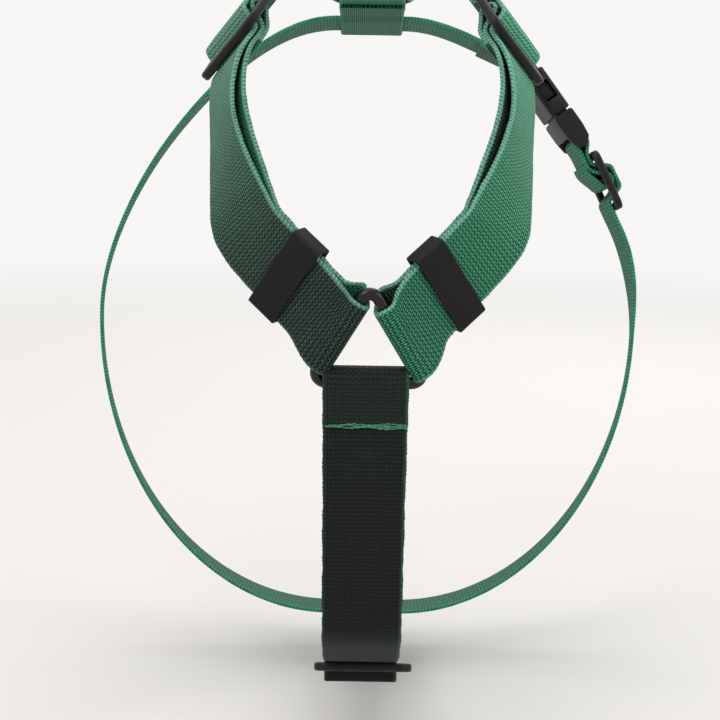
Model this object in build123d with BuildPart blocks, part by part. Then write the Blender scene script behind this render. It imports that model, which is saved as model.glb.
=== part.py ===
"""No-pull dog harness in 25 mm webbing.

Two triangular rings, one before the breastbone and one over the withers, carry a pair of
adjustable shoulder straps.  A chest strap runs down from the front ring and loops round the
girth strap under the belly; a back strap does the same along the spine.  The girth strap
closes with a side-release buckle.  Every adjustable strap passes a flat tri-glide slider.

Millimetres, +Z up, +Y towards the tail, +X the dog's left.  Origin: centre of the withers ring.
"""
import os
from math import cos, hypot, radians, sin, tan

from build123d import *

# ---- webbing -------------------------------------------------------------------------
web_w = 25.0
web_t = 1.4
bar_w = 22.0                    # width where a strap is bunched round a ring bar
lay_gap = 0.5                   # daylight between two layers lying on each other
half_pair = (web_t + lay_gap) / 2
sewn = web_t / 2 - 0.05         # half spacing of two layers stitched into one

# ---- triangular rings ----------------------------------------------------------------
ring_side = 35.0                # side of the wire's centre line, corners sharp
ring_corner = 2.9
ring_r = 1.9
ring_in = ring_side / (2 * 3 ** 0.5)
loop_r = ring_r + 0.2 + web_t / 2

# ---- tri-glide sliders ---------------------------------------------------------------
glide_w = 33.5
glide_l = 25.4
glide_t = 3.0
slot_w = 27.4
slot_l = 7.8
slot_at = 5.4
run_y = -(glide_t / 2 + 0.35 + web_t / 2)       # running layer, below the outer bars
fix_y = run_y - web_t - lay_gap                 # fixed layer, below the running layer
tear_r = 2.6                                    # fixed loop round the centre bar
hump_y = tear_r + web_t + 0.3                   # running layer over the fixed loop

# ---- keepers -------------------------------------------------------------------------
keeper_l = 10.5
keeper_wall = 1.3
keeper_in_w = web_w + 0.6
keeper_in_t = 2 * (half_pair + web_t / 2) + 0.6

# ---- attitude of the harness ---------------------------------------------------------
chest_at = Vector(0, -114, -112)                # centre of the chest ring
chest_lean = 12.0                               # its apex leans forward from upright
girth_lean = 8.65                               # the girth loop's top leans to the tail
girth_behind = 75.2                             # along the back, from the withers ring's bar
girth_half_h = 118.6
girth_half_w = 108.0
flat = web_w / 2 + 1.5          # the girth strap lies flat where another strap crosses it

X = Vector(1, 0, 0)
Z = Vector(0, 0, 1)
ring_up = Vector(0, -sin(radians(chest_lean)), cos(radians(chest_lean)))
ring_out = Vector(0, -cos(radians(chest_lean)), -sin(radians(chest_lean)))
girth_up = Vector(0, sin(radians(girth_lean)), cos(radians(girth_lean)))
girth_aft = Vector(0, cos(radians(girth_lean)), -sin(radians(girth_lean)))
back_bar = Vector(0, ring_in, 0)
girth_top = back_bar + girth_aft * girth_behind
girth_at = girth_top - girth_up * girth_half_h


def frame_plane(origin, x_dir, y_dir):
    """Plane whose local x and y are the two directions given."""
    return Plane(origin=origin, x_dir=x_dir, z_dir=x_dir.cross(y_dir))


def girth_dir(x, v):
    """Direction in the plane of the girth loop."""
    return (X * x + girth_up * v).normalized()


def web_line(points, radius):
    """Trace a folded webbing section along its midline, in the open sketch."""
    with BuildLine() as midline:
        FilletPolyline(*points, radius=radius)
    trace(midline.line, line_width=web_t)


def ring_loop(run, flap, run_at, flap_at, r):
    """Section of a strap folded round a bar at the origin and leaving along +x."""
    side = 1 if run_at > flap_at else -1
    join = (6.5, flap_at - side * (r - abs(flap_at)) * 3.0 / 8.5)
    web_line(
        [(run, run_at), (9.5, run_at), (1.0, side * r), (-r, side * r),
         (-r, -side * r), (1.0, -side * r), join],
        r - 0.02,
    )
    web_line([join, (9.5, flap_at), (flap, flap_at)], 1.0)


def glide_section(double, single, fixed, flap):
    """Section through a tri-glide: the running layer's hump and the fixed end's loop.

    The doubled side is -x, the single side +x, and +y faces away from the dog.
    """
    web_line(
        [(-double, run_y), (-8.0, run_y), (-4.4, hump_y), (4.4, hump_y), (8.0, run_y),
         (single, run_y)],
        1.6,
    )
    top_y = fix_y + web_t / 2
    low_y = fix_y - web_t / 2 - 2 * sewn
    eye_r = tear_r + web_t / 2
    with BuildLine() as tail:
        Polyline(
            (-fixed, top_y), (-6.4, top_y), (-eye_r, -0.8), (0, 0), (1.2, -eye_r + 0.2),
            (-6.8, low_y), (-flap, low_y), (-flap, fix_y - web_t / 2),
            (-fixed, fix_y - web_t / 2), close=True,
        )
    make_face(tail.edges())
    Circle(eye_r)
    Circle(tear_r - web_t / 2, mode=Mode.SUBTRACT)


def bar_trim(skew, length):
    """Plan outline of a strap bunched at a bar, leaving it at a skew."""
    slope = tan(radians(skew))
    half = web_w / 2 / cos(radians(skew))
    near = bar_w / 2
    with BuildLine() as outline:
        Polyline(
            (-5, -near - 5 * slope), (2, -near + 2 * slope), (12, -half + 12 * slope),
            (length, -half + length * slope), (length, half + length * slope),
            (12, half + 12 * slope), (2, near + 2 * slope), (-5, near - 5 * slope),
            close=True,
        )
    make_face(outline.edges())


def stations(line, first, last, normals):
    """Planes across a route: the two ends as given, others square to the line."""
    planes = [first]
    count = len(normals)
    for i, face in enumerate(normals):
        u = (i + 1) / (count + 1)
        along = line % u
        across = face.cross(along).normalized()
        planes.append(Plane(origin=line @ u, x_dir=across, z_dir=along))
    planes.append(last)
    return planes


def blend(a, b, k):
    return (a * (1 - k) + b * k).normalized()


# ---- rings ---------------------------------------------------------------------------
def triangle(apex_at):
    """Centre line of a ring, its apex towards local +y or -y."""
    r = 2 * ring_in
    FilletPolyline(
        (0, apex_at * r), (-ring_side / 2, -apex_at * ring_in),
        (ring_side / 2, -apex_at * ring_in), close=True, radius=ring_corner,
    )


chest_plane = frame_plane(chest_at, X, ring_up)
with BuildPart() as chest_ring:
    with BuildLine(chest_plane) as chest_wire:
        triangle(1)
    with BuildSketch(Plane(origin=chest_wire.line @ 0, z_dir=chest_wire.line % 0)):
        Circle(ring_r)
    sweep(path=chest_wire.line)

with BuildPart() as withers_ring:
    with BuildLine(Plane.XY) as withers_wire:
        triangle(-1)
    with BuildSketch(Plane(origin=withers_wire.line @ 0, z_dir=withers_wire.line % 0)):
        Circle(ring_r)
    sweep(path=withers_wire.line)

# ---- right-hand shoulder strap of the dog (-X), then its mirror image ------------------
# chest end: skewed towards the apex, as the pull of the strap turns it on the bar
bar_dir = (X * -0.5 - ring_up * (3 ** 0.5 / 2)).normalized()
chest_bar = chest_at + (X * (-3 ** 0.5 / 2) + ring_up * 0.5) * ring_in
shoulder_pull = Vector(-0.66, 0.315, 0.682).normalized()
shoulder_run = (shoulder_pull - bar_dir * shoulder_pull.dot(bar_dir)).normalized()
shoulder_face = shoulder_run.cross(bar_dir)
chest_skew = -11.0
pair_l = 36.0

chest_profile = frame_plane(chest_bar, shoulder_run, shoulder_face)
chest_plan = Plane(origin=chest_bar, x_dir=shoulder_run, z_dir=shoulder_face)
chest_shift = bar_dir * (pair_l * tan(radians(chest_skew)))
pair_end = chest_bar + shoulder_run * pair_l + chest_shift
pair_dir = (shoulder_run + bar_dir * tan(radians(chest_skew))).normalized()

# the slider sits on the side of the neck
glide_at = Vector(-42.0, -56.0, -19.5)
glide_face = Vector(-0.79, -0.12, 0.60).normalized()
glide_run = Vector(0.35, 0.78, 0.51)
glide_run = (glide_run - glide_face * glide_run.dot(glide_face)).normalized()
glide_across = glide_face.cross(glide_run)
glide_profile = frame_plane(glide_at, glide_run, glide_face)
glide_double = 13.2
glide_single = 16.0

# withers end
withers_out = Vector(-cos(radians(30)), -sin(radians(30)), 0)
withers_bar = withers_out * ring_in
withers_across = Z.cross(withers_out)
withers_skew = 18.0
withers_l = 14.0
withers_profile = frame_plane(withers_bar, withers_out, Z)
withers_plan = Plane(origin=withers_bar, x_dir=withers_out, z_dir=Z)
withers_end = (withers_bar + withers_out * withers_l
               + withers_across * (withers_l * tan(radians(withers_skew))))
withers_dir = (withers_out + withers_across * tan(radians(withers_skew))).normalized()

# outer layer: chest to slider
side_pts = [
    pair_end + shoulder_face * half_pair,
    Vector(-41.6, -94.4, -67.6),
    Vector(-45.2, -83.0, -53.0),
    glide_at - glide_run * glide_double + glide_face * run_y,
]
side_faces = [
    Vector(-0.56, -0.80, 0.06), Vector(-0.76, -0.62, 0.11), Vector(-0.88, -0.42, 0.15),
    Vector(-0.93, -0.24, 0.24), Vector(-0.92, -0.18, 0.33), Vector(-0.88, -0.16, 0.45),
]
with BuildLine() as outer_line:
    Spline(*side_pts, tangents=[pair_dir, glide_run])

# inner layer: the same way, drawn in under the outer one and towards the neck
inner_in = [2.2, 2.9, 3.3, 3.3, 2.9, 2.3]
inner_up = [0.5, 1.4, 2.1, 2.1, 1.4, 0.5]

outer_planes = stations(
    outer_line.line,
    Plane(origin=side_pts[0], x_dir=bar_dir, z_dir=shoulder_run),
    Plane(origin=side_pts[-1], x_dir=glide_across, z_dir=glide_run),
    side_faces,
)
inner_planes = [
    Plane(origin=pair_end - shoulder_face * half_pair, x_dir=bar_dir, z_dir=shoulder_run)
]
for plane, depth, rise in zip(outer_planes[1:-1], inner_in, inner_up):
    inner_planes.append(
        Plane(
            origin=plane.origin - plane.y_dir * depth - plane.x_dir * rise,
            x_dir=plane.x_dir, z_dir=plane.z_dir,
        )
    )
inner_planes.append(
    Plane(
        origin=glide_at - glide_run * glide_double + glide_face * fix_y,
        x_dir=glide_across, z_dir=glide_run,
    )
)

# outer layer: slider to withers ring
top_start = glide_at + glide_run * glide_single + glide_face * run_y
top_end = withers_end + Z * (web_t / 2)
with BuildLine() as top_line:
    Spline(top_start, top_end, tangents=[glide_run, -withers_dir])
top_faces = [blend(glide_face, Z, k) for k in (0.2, 0.45, 0.7, 0.88)]
top_planes = stations(
    top_line.line,
    Plane(origin=top_start, x_dir=glide_across, z_dir=glide_run),
    Plane(origin=top_end, x_dir=Z.cross(-withers_out), z_dir=-withers_out),
    top_faces,
)


def web_loft(planes, first_w, last_w):
    """One layer of webbing lofted through the stations given."""
    widths = [first_w] + [web_w] * (len(planes) - 2) + [last_w]
    sections = []
    for plane, width in zip(planes, widths):
        with BuildSketch(plane) as section:
            Rectangle(width, web_t)
        sections.append(section.sketch.face())
    loft(sections)


chest_cut_w = web_w / cos(radians(chest_skew))
withers_cut_w = web_w / cos(radians(withers_skew))

with BuildPart() as shoulder_chest_end:
    with BuildSketch(chest_profile):
        ring_loop(pair_l, pair_l, half_pair, -half_pair, loop_r)
    extrude(amount=30, both=True)
    with BuildSketch(chest_plan):
        bar_trim(chest_skew, pair_l)
    extrude(amount=8, both=True, mode=Mode.INTERSECT)

with BuildPart() as shoulder_withers_end:
    with BuildSketch(withers_profile):
        ring_loop(withers_l, 13.0, sewn, -sewn, loop_r)
    extrude(amount=30, both=True)
    with BuildSketch(withers_plan):
        bar_trim(withers_skew, withers_l)
    extrude(amount=8, both=True, mode=Mode.INTERSECT)

with BuildPart() as left_shoulder_strap:
    with BuildSketch(glide_profile):
        glide_section(glide_double, glide_single, glide_double, 12.4)
    extrude(amount=web_w / 2, both=True)
    web_loft(outer_planes, chest_cut_w, web_w)
    web_loft(inner_planes, chest_cut_w, web_w)
    web_loft(top_planes, web_w, withers_cut_w)
    add(shoulder_chest_end.part)
    add(shoulder_withers_end.part)

with BuildPart() as right_shoulder_strap:
    mirror(left_shoulder_strap.part, about=Plane.YZ)


# ---- keepers: loops that slide along the doubled stretch -------------------------------
def keeper_plane(along):
    """Section plane of the -X keeper at a distance from the ring bar."""
    across = shoulder_face.cross(pair_dir)
    return Plane(origin=chest_bar + pair_dir * along, x_dir=across, z_dir=pair_dir)


def keeper(plane):
    with BuildSketch(plane) as tube:
        RectangleRounded(
            keeper_in_w + 2 * keeper_wall, keeper_in_t + 2 * keeper_wall, keeper_wall * 0.7
        )
        RectangleRounded(keeper_in_w, keeper_in_t, 0.4, mode=Mode.SUBTRACT)
    extrude(tube.sketch, amount=keeper_l / 2, both=True)


left_keeper_at = 23.0
right_keeper_at = 20.5
with BuildPart() as left_shoulder_keeper:
    keeper(keeper_plane(left_keeper_at))
    ends = left_shoulder_keeper.faces().sort_by(Axis(chest_bar, pair_dir))
    chamfer(ends[-1].outer_wire().edges() + ends[0].outer_wire().edges(), 0.3)
with BuildPart() as keeper_twin:
    keeper(keeper_plane(right_keeper_at))
    ends = keeper_twin.faces().sort_by(Axis(chest_bar, pair_dir))
    chamfer(ends[-1].outer_wire().edges() + ends[0].outer_wire().edges(), 0.3)
with BuildPart() as right_shoulder_keeper:
    mirror(keeper_twin.part, about=Plane.YZ)


# ---- tri-glide sliders -----------------------------------------------------------------
def lying_in(edges, face):
    """The edges whose middle runs square to a direction."""
    return edges.filter_by(lambda e: abs(e.tangent_at(0.5).dot(face)) < 0.1)


def running_along(edges, run):
    """The edges whose middle runs along a direction."""
    return edges.filter_by(lambda e: abs(e.tangent_at(0.5).dot(run)) > 0.9)


def tri_glide(profile):
    """Flat slider whose profile plane has +x along the webbing and +y off the dog."""
    face = profile.y_dir
    plan = Plane(origin=profile.origin, x_dir=profile.x_dir, z_dir=face)
    with BuildSketch(plan) as plate:
        RectangleRounded(glide_l, glide_w, 4.0)
        with Locations((-slot_at, 0), (slot_at, 0)):
            RectangleRounded(slot_l, slot_w, 1.5, mode=Mode.SUBTRACT)
    extrude(plate.sketch, amount=glide_t / 2, both=True)


with BuildPart() as left_shoulder_slider:
    tri_glide(glide_profile)
    fillet(lying_in(left_shoulder_slider.edges(), glide_face), 0.9)
with BuildPart() as right_shoulder_slider:
    mirror(left_shoulder_slider.part, about=Plane.YZ)

# ---- girth strap and buckle, drawn in the plane of the girth loop ------------------------
buckle_out = girth_dir(0.807, 0.59)
buckle_run = girth_dir(0.59, -0.807)
buckle_at = girth_at + X * 76.0 + girth_up * 82.0
buckle_profile = frame_plane(buckle_at, buckle_run, buckle_out)
buckle_plan = Plane(origin=buckle_at, x_dir=buckle_run, z_dir=buckle_out)
buckle_w = 31.0
buckle_t = 8.4
web_bar_r = 1.6
web_loop_r = web_bar_r + 0.25 + web_t / 2
female_l = 19.4
female_bar = -24.0
male_l = 9.0
male_bar = 14.0
rail_w = 2.6
cavity_w = 27.4
cavity_t = 5.2
arm_at = 10.3

# sewn end on the female half, and the adjustable end on the male half
sewn_out = girth_dir(-0.914, 0.405)
sewn_face = girth_dir(0.405, 0.914)
sewn_l = 24.0
sewn_at = buckle_at + buckle_run * female_bar
sewn_profile = frame_plane(sewn_at, sewn_out, sewn_face)
girth_run = girth_dir(0.435, -0.90)
girth_face = girth_dir(0.90, 0.435)
girth_glide_off = 18.0
girth_glide_at = (buckle_at + buckle_run * male_bar + girth_run * girth_glide_off
                  - girth_face * run_y)
girth_glide_profile = frame_plane(girth_glide_at, girth_run, girth_face)
girth_glide_l = 20.0

girth_plane = frame_plane(girth_at, X, girth_up)
loose_start = girth_plane.to_local_coords(
    girth_glide_at + girth_run * girth_glide_l + girth_face * run_y
)
loose_dir = (0.435, -0.90)
loose_end = girth_plane.to_local_coords(sewn_at + sewn_out * sewn_l + sewn_face * sewn)
end_dir = (0.914, -0.405)

with BuildPart() as girth_strap:
    with BuildSketch(girth_plane):
        with BuildLine() as belly:
            Spline(loose_start, (girth_half_w, 0), tangents=[loose_dir, (0, -1)])
            EllipticalCenterArc((flat, 0), girth_half_w - flat, girth_half_h,
                                start_angle=270, arc_size=90)
            Line((-flat, -girth_half_h), (flat, -girth_half_h))
            EllipticalCenterArc((-flat, 0), girth_half_w - flat, girth_half_h,
                                start_angle=180, arc_size=90)
            Spline((-girth_half_w, 0), (-98.5, 40.0), (-66.0, 88.5), (-flat, girth_half_h),
                   tangents=[(0, 1), (1, 0)])
            Line((-flat, girth_half_h), (flat, girth_half_h))
            Spline((flat, girth_half_h), loose_end, tangents=[(1, 0), end_dir])
        trace(belly.line, line_width=web_t)
    extrude(amount=web_w / 2, both=True)
    with BuildSketch(sewn_profile):
        ring_loop(sewn_l, 20.0, sewn, -sewn, web_loop_r)
    extrude(amount=web_w / 2, both=True)
    with BuildSketch(girth_glide_profile):
        web_line(
            [(girth_glide_l, run_y), (8.0, run_y), (4.4, hump_y), (-4.4, hump_y),
             (-8.0, run_y), (-13.4, run_y), (-17.0, run_y + web_loop_r),
             (-18.0 - web_loop_r, run_y + web_loop_r), (-18.0 - web_loop_r, run_y - web_loop_r),
             (-17.0, run_y - web_loop_r), (-12.0, fix_y), (-8.0, fix_y)],
            1.5,
        )
        with BuildLine():
            Polyline(
                (-9.0, fix_y + web_t / 2), (-6.4, fix_y + web_t / 2),
                (-tear_r - web_t / 2, -0.8), (0, 0), (1.2, -tear_r - web_t / 2 + 0.2),
                (-6.8, fix_y - web_t / 2), (-9.0, fix_y - web_t / 2), close=True,
            )
        make_face()
        Circle(tear_r + web_t / 2)
        Circle(tear_r - web_t / 2, mode=Mode.SUBTRACT)
    extrude(amount=web_w / 2, both=True)

with BuildPart() as girth_slider:
    tri_glide(girth_glide_profile)
    fillet(lying_in(girth_slider.edges(), girth_face), 0.9)

buckle_mouth = Plane(origin=buckle_at, x_dir=buckle_plan.y_dir, z_dir=-buckle_run)


def rails_and_bar(bar_at, body_end):
    """Side rails out to a webbing bar, from the end of a buckle half's body."""
    side = 1 if bar_at > 0 else -1
    length = abs(bar_at - body_end) + web_bar_r + 0.5
    with BuildSketch(buckle_plan) as rails:
        with Locations((body_end - side * 0.5 + side * length / 2, 0)):
            with GridLocations(0, buckle_w - rail_w, 1, 2):
                Rectangle(length, rail_w)
    extrude(rails.sketch, amount=web_bar_r + 0.6, both=True)
    bar_origin = buckle_at + buckle_run * bar_at
    with BuildSketch(Plane(origin=bar_origin, x_dir=buckle_run, z_dir=buckle_plan.y_dir)) as bar:
        Circle(web_bar_r)
    extrude(bar.sketch, amount=buckle_w / 2 - 1, both=True)


with BuildPart() as buckle_female:
    with BuildSketch(buckle_plan):
        with Locations((-0.4, 0)):
            Rectangle(female_l - 0.4, buckle_w, align=(Align.MAX, Align.CENTER))
    extrude(amount=buckle_t / 2, both=True)
    fillet(running_along(buckle_female.edges(), buckle_run), 2.4)
    with BuildSketch(buckle_mouth):
        Rectangle(cavity_w, cavity_t)
    extrude(amount=female_l - 1.6, mode=Mode.SUBTRACT)
    with BuildSketch(buckle_plan):
        with Locations((-10.5, 0)):
            RectangleRounded(8.0, buckle_w + 4, 1.5)
    extrude(amount=cavity_t / 2 - 0.1, both=True, mode=Mode.SUBTRACT)
    rails_and_bar(female_bar, -female_l)

with BuildPart() as buckle_male:
    with BuildSketch(buckle_plan):
        Rectangle(male_l, buckle_w, align=(Align.MIN, Align.CENTER))
    extrude(amount=buckle_t / 2, both=True)
    fillet(running_along(buckle_male.edges(), buckle_run), 2.4)
    rails_and_bar(male_bar, male_l)
    with BuildSketch(buckle_plan):
        with Locations((1.0, 0)):
            SlotOverall(33.0, 4.6, mode=Mode.ADD)
        with Locations((9.0, 0)):
            Rectangle(17.0, 6.0, align=(Align.MIN, Align.CENTER), mode=Mode.SUBTRACT)
    extrude(amount=1.9, both=True)

with BuildPart() as buckle_latch_front:
    with BuildSketch(buckle_plan):
        with BuildLine():
            Polyline(
                (-0.5, -arm_at - 0.9), (-0.5, -arm_at + 0.9), (-15.5, -arm_at + 0.9),
                (-16.2, -arm_at + 0.2), (-16.2, -arm_at - 0.4), (-14.0, -13.2),
                (-7.5, -13.2), (-6.5, -arm_at - 0.9), close=True,
            )
        make_face()
    extrude(amount=2.2, both=True)
with BuildPart() as buckle_latch_rear:
    mirror(buckle_latch_front.part, about=Plane(origin=buckle_at, z_dir=girth_aft))

# ---- chest strap -------------------------------------------------------------------------
chest_bar_low = chest_at - ring_up * ring_in
hang_run = Vector(0, sin(radians(8)), -cos(radians(8)))
hang_face = Vector(0, -cos(radians(8)), -sin(radians(8)))
hang_profile = frame_plane(chest_bar_low, hang_run, hang_face)
hang_plan = Plane(origin=chest_bar_low, x_dir=hang_run, z_dir=hang_face)
hang_l = 26.0
flap_l = 13.5
girth_bottom = girth_at - girth_up * girth_half_h
chest_glide_off = 93.6
wrap = 1.7                              # layers of the chest strap either side of the girth
chest_glide_at = girth_bottom - girth_aft * chest_glide_off - girth_up * (wrap - run_y)
chest_glide_profile = frame_plane(chest_glide_at, -girth_aft, -girth_up)
chest_glide_l = 18.0
hang_start = chest_bar_low + hang_run * hang_l - hang_face * (web_t / 2)
hang_end = chest_glide_at - girth_aft * chest_glide_l - girth_up * run_y
wrap_x = -chest_glide_off - web_w / 2 - 0.1

with BuildPart() as chest_strap:
    with BuildSketch(Plane.YZ):
        with BuildLine() as hang:
            Spline(
                (hang_start.Y, hang_start.Z), (-98.3, -191.0), (-94.2, -205.2), (-84.0, -214.2),
                (hang_end.Y, hang_end.Z),
                tangents=[(hang_run.Y, hang_run.Z), (girth_aft.Y, girth_aft.Z)],
            )
        trace(hang.line, line_width=web_t)
    extrude(amount=web_w / 2, both=True)
    with BuildSketch(hang_profile):
        ring_loop(hang_l, flap_l, -web_t / 2, web_t / 2 - 0.1, loop_r)
    extrude(amount=web_w / 2, both=True)
    with BuildSketch(hang_plan):
        bar_trim(0, hang_l)
        with Locations((hang_l - 0.5, 0)):
            Rectangle(200, 60, align=(Align.MIN, Align.CENTER))
    extrude(amount=160, both=True, mode=Mode.INTERSECT)
    with BuildSketch(chest_glide_profile):
        web_line(
            [(chest_glide_l, run_y), (8.0, run_y), (4.4, hump_y), (-4.4, hump_y),
             (-8.0, run_y), (wrap_x - wrap, run_y), (wrap_x - wrap, run_y - 2 * wrap),
             (-82.0, run_y - 2 * wrap), (-66.0, fix_y), (-8.0, fix_y)],
            wrap - 0.02,
        )
        with BuildLine():
            Polyline(
                (-9.0, fix_y + web_t / 2), (-6.4, fix_y + web_t / 2),
                (-tear_r - web_t / 2, -0.8), (0, 0), (1.2, -tear_r - web_t / 2 + 0.2),
                (-6.8, fix_y - web_t / 2 - 1.3), (-20.0, fix_y - web_t / 2 - 1.3),
                (-20.0, fix_y), close=True,
            )
        make_face()
        Circle(tear_r + web_t / 2)
        Circle(tear_r - web_t / 2, mode=Mode.SUBTRACT)
    extrude(amount=web_w / 2, both=True)

with BuildPart() as chest_strap_slider:
    tri_glide(chest_glide_profile)
    fillet(lying_in(chest_strap_slider.edges(), girth_up), 0.9)

# ---- back strap, leash ring and its tab ----------------------------------------------------
back_profile = frame_plane(back_bar, girth_aft, girth_up)
back_plan = Plane(origin=back_bar, x_dir=girth_aft, z_dir=girth_up)
back_wrap = girth_behind + web_w / 2 + 0.1
tab_at = 34.0
leash_r = 1.75
leash_y = web_t + 0.3 + leash_r
tab_t = 1.2

with BuildPart() as back_strap:
    with BuildSketch(back_profile):
        ring_loop(30.0, 24.0, sewn, -sewn, loop_r)
        web_line(
            [(30.0, sewn), (54.0, sewn), (60.0, wrap), (back_wrap + wrap, wrap),
             (back_wrap + wrap, -wrap), (60.0, -wrap), (56.0, 0.15 - wrap)],
            wrap - 0.02,
        )
        web_line([(56.0, 0.15 - wrap), (54.0, -sewn), (38.0, -sewn)], 0.8)
    extrude(amount=web_w / 2, both=True)
    with BuildSketch(back_plan):
        bar_trim(0, 30.0)
        with Locations((29.5, 0)):
            Rectangle(80, 60, align=(Align.MIN, Align.CENTER))
    extrude(amount=20, both=True, mode=Mode.INTERSECT)

with BuildPart() as leash_ring_tab:
    with BuildSketch(back_profile) as tab_section:
        with BuildLine() as tab_mid:
            FilletPolyline(
                (tab_at - 9.0, web_t + 0.05 + tab_t / 2), (tab_at - 4.0, web_t + 0.05 + tab_t / 2),
                (tab_at - 2.7, leash_y + leash_r + 0.25 + tab_t / 2),
                (tab_at + 2.7, leash_y + leash_r + 0.25 + tab_t / 2),
                (tab_at + 4.0, web_t + 0.05 + tab_t / 2), (tab_at + 9.0, web_t + 0.05 + tab_t / 2),
                radius=1.2,
            )
        trace(tab_mid.line, line_width=tab_t)
    extrude(amount=11.0, both=True)

leash_half_w = 14.75
leash_side = 7.0
leash_lift = 4.0
leash_at = back_bar + girth_aft * tab_at + girth_up * leash_y
leash_dir = (girth_aft * cos(radians(leash_lift)) + girth_up * sin(radians(leash_lift)))
with BuildPart() as leash_ring:
    with BuildLine(Plane(origin=leash_at, x_dir=X, z_dir=X.cross(leash_dir))) as leash_wire:
        Polyline((-leash_half_w, leash_side), (-leash_half_w, 0), (leash_half_w, 0),
                 (leash_half_w, leash_side))
        ThreePointArc((leash_half_w, leash_side), (0, leash_side + leash_half_w),
                      (-leash_half_w, leash_side))
        fillet(leash_wire.vertices().group_by(Axis(leash_at, leash_dir))[0], 2.4)
    with BuildSketch(Plane(origin=leash_wire.line @ 0, z_dir=leash_wire.line % 0)):
        Circle(leash_r)
    sweep(path=leash_wire.line)

# ---- stitching: rows of heavy thread on the webbing ------------------------------------------
thread_t = 0.45
with BuildPart() as chest_strap_stitching:
    with BuildSketch(Plane(origin=chest_bar_low + hang_face * (web_t - 0.1 + 0.03),
                           x_dir=hang_run, z_dir=hang_face)):
        with Locations((flap_l - 0.7, 0)):
            Rectangle(0.9, 24.4)
    extrude(amount=thread_t)


def box_stitch(plan, at, length, width):
    """Closed rectangle of stitching lying on a layer of webbing."""
    with BuildSketch(plan) as rows:
        with Locations(at):
            Rectangle(length, width)
            Rectangle(length - 1.4, width - 1.4, mode=Mode.SUBTRACT)
    extrude(rows.sketch, amount=thread_t)


sewn_top = sewn + web_t / 2 + 0.03
with BuildPart() as left_withers_stitching:
    box_stitch(Plane(origin=withers_bar + Z * sewn_top, x_dir=withers_out, z_dir=Z),
               (11.6, 11.6 * tan(radians(withers_skew))), 3.6, 21.0)
with BuildPart() as right_withers_stitching:
    mirror(left_withers_stitching.part, about=Plane.YZ)
with BuildPart() as back_strap_stitching:
    box_stitch(Plane(origin=back_bar + girth_up * sewn_top, x_dir=girth_aft, z_dir=girth_up),
               (16.5, 0), 12.0, 20.0)
with BuildPart() as girth_strap_stitching:
    box_stitch(Plane(origin=sewn_at + sewn_face * sewn_top, x_dir=sewn_out, z_dir=sewn_face),
               (16.0, 0), 9.0, 20.0)

chest_ring.part.label = "chest_ring"
withers_ring.part.label = "withers_ring"
left_shoulder_strap.part.label = "left_shoulder_strap"
right_shoulder_strap.part.label = "right_shoulder_strap"
left_shoulder_keeper.part.label = "left_shoulder_keeper"
right_shoulder_keeper.part.label = "right_shoulder_keeper"
left_shoulder_slider.part.label = "left_shoulder_slider"
right_shoulder_slider.part.label = "right_shoulder_slider"
girth_strap.part.label = "girth_strap"
girth_slider.part.label = "girth_slider"
buckle_female.part.label = "buckle_female"
buckle_male.part.label = "buckle_male"
buckle_latch_front.part.label = "buckle_latch_front"
buckle_latch_rear.part.label = "buckle_latch_rear"
chest_strap.part.label = "chest_strap"
chest_strap_slider.part.label = "chest_strap_slider"
chest_strap_stitching.part.label = "chest_strap_stitching"
back_strap.part.label = "back_strap"
back_strap_stitching.part.label = "back_strap_stitching"
leash_ring.part.label = "leash_ring"
leash_ring_tab.part.label = "leash_ring_tab"
left_withers_stitching.part.label = "left_withers_stitching"
right_withers_stitching.part.label = "right_withers_stitching"
girth_strap_stitching.part.label = "girth_strap_stitching"

os.makedirs("parts", exist_ok=True)
for piece in (
    chest_ring, withers_ring, left_shoulder_strap, right_shoulder_strap, left_shoulder_keeper,
    right_shoulder_keeper, left_shoulder_slider, right_shoulder_slider, girth_strap,
    girth_slider, buckle_female, buckle_male, buckle_latch_front, buckle_latch_rear,
    chest_strap, chest_strap_slider, chest_strap_stitching, back_strap, back_strap_stitching,
    leash_ring, leash_ring_tab, left_withers_stitching, right_withers_stitching,
    girth_strap_stitching,
):
    export_step(piece.part, f"parts/{piece.part.label}.step")
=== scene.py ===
"""No-pull dog harness: printed webbing, sewing and black hardware, with camera, floor and light.

Shapes are worked out in millimetres in the row frame and turned into metres as meshes are made.
"""

from math import cos, pi, radians, sin, tan

import bmesh
import bpy
import numpy as np
from mathutils import Matrix, Vector


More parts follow.
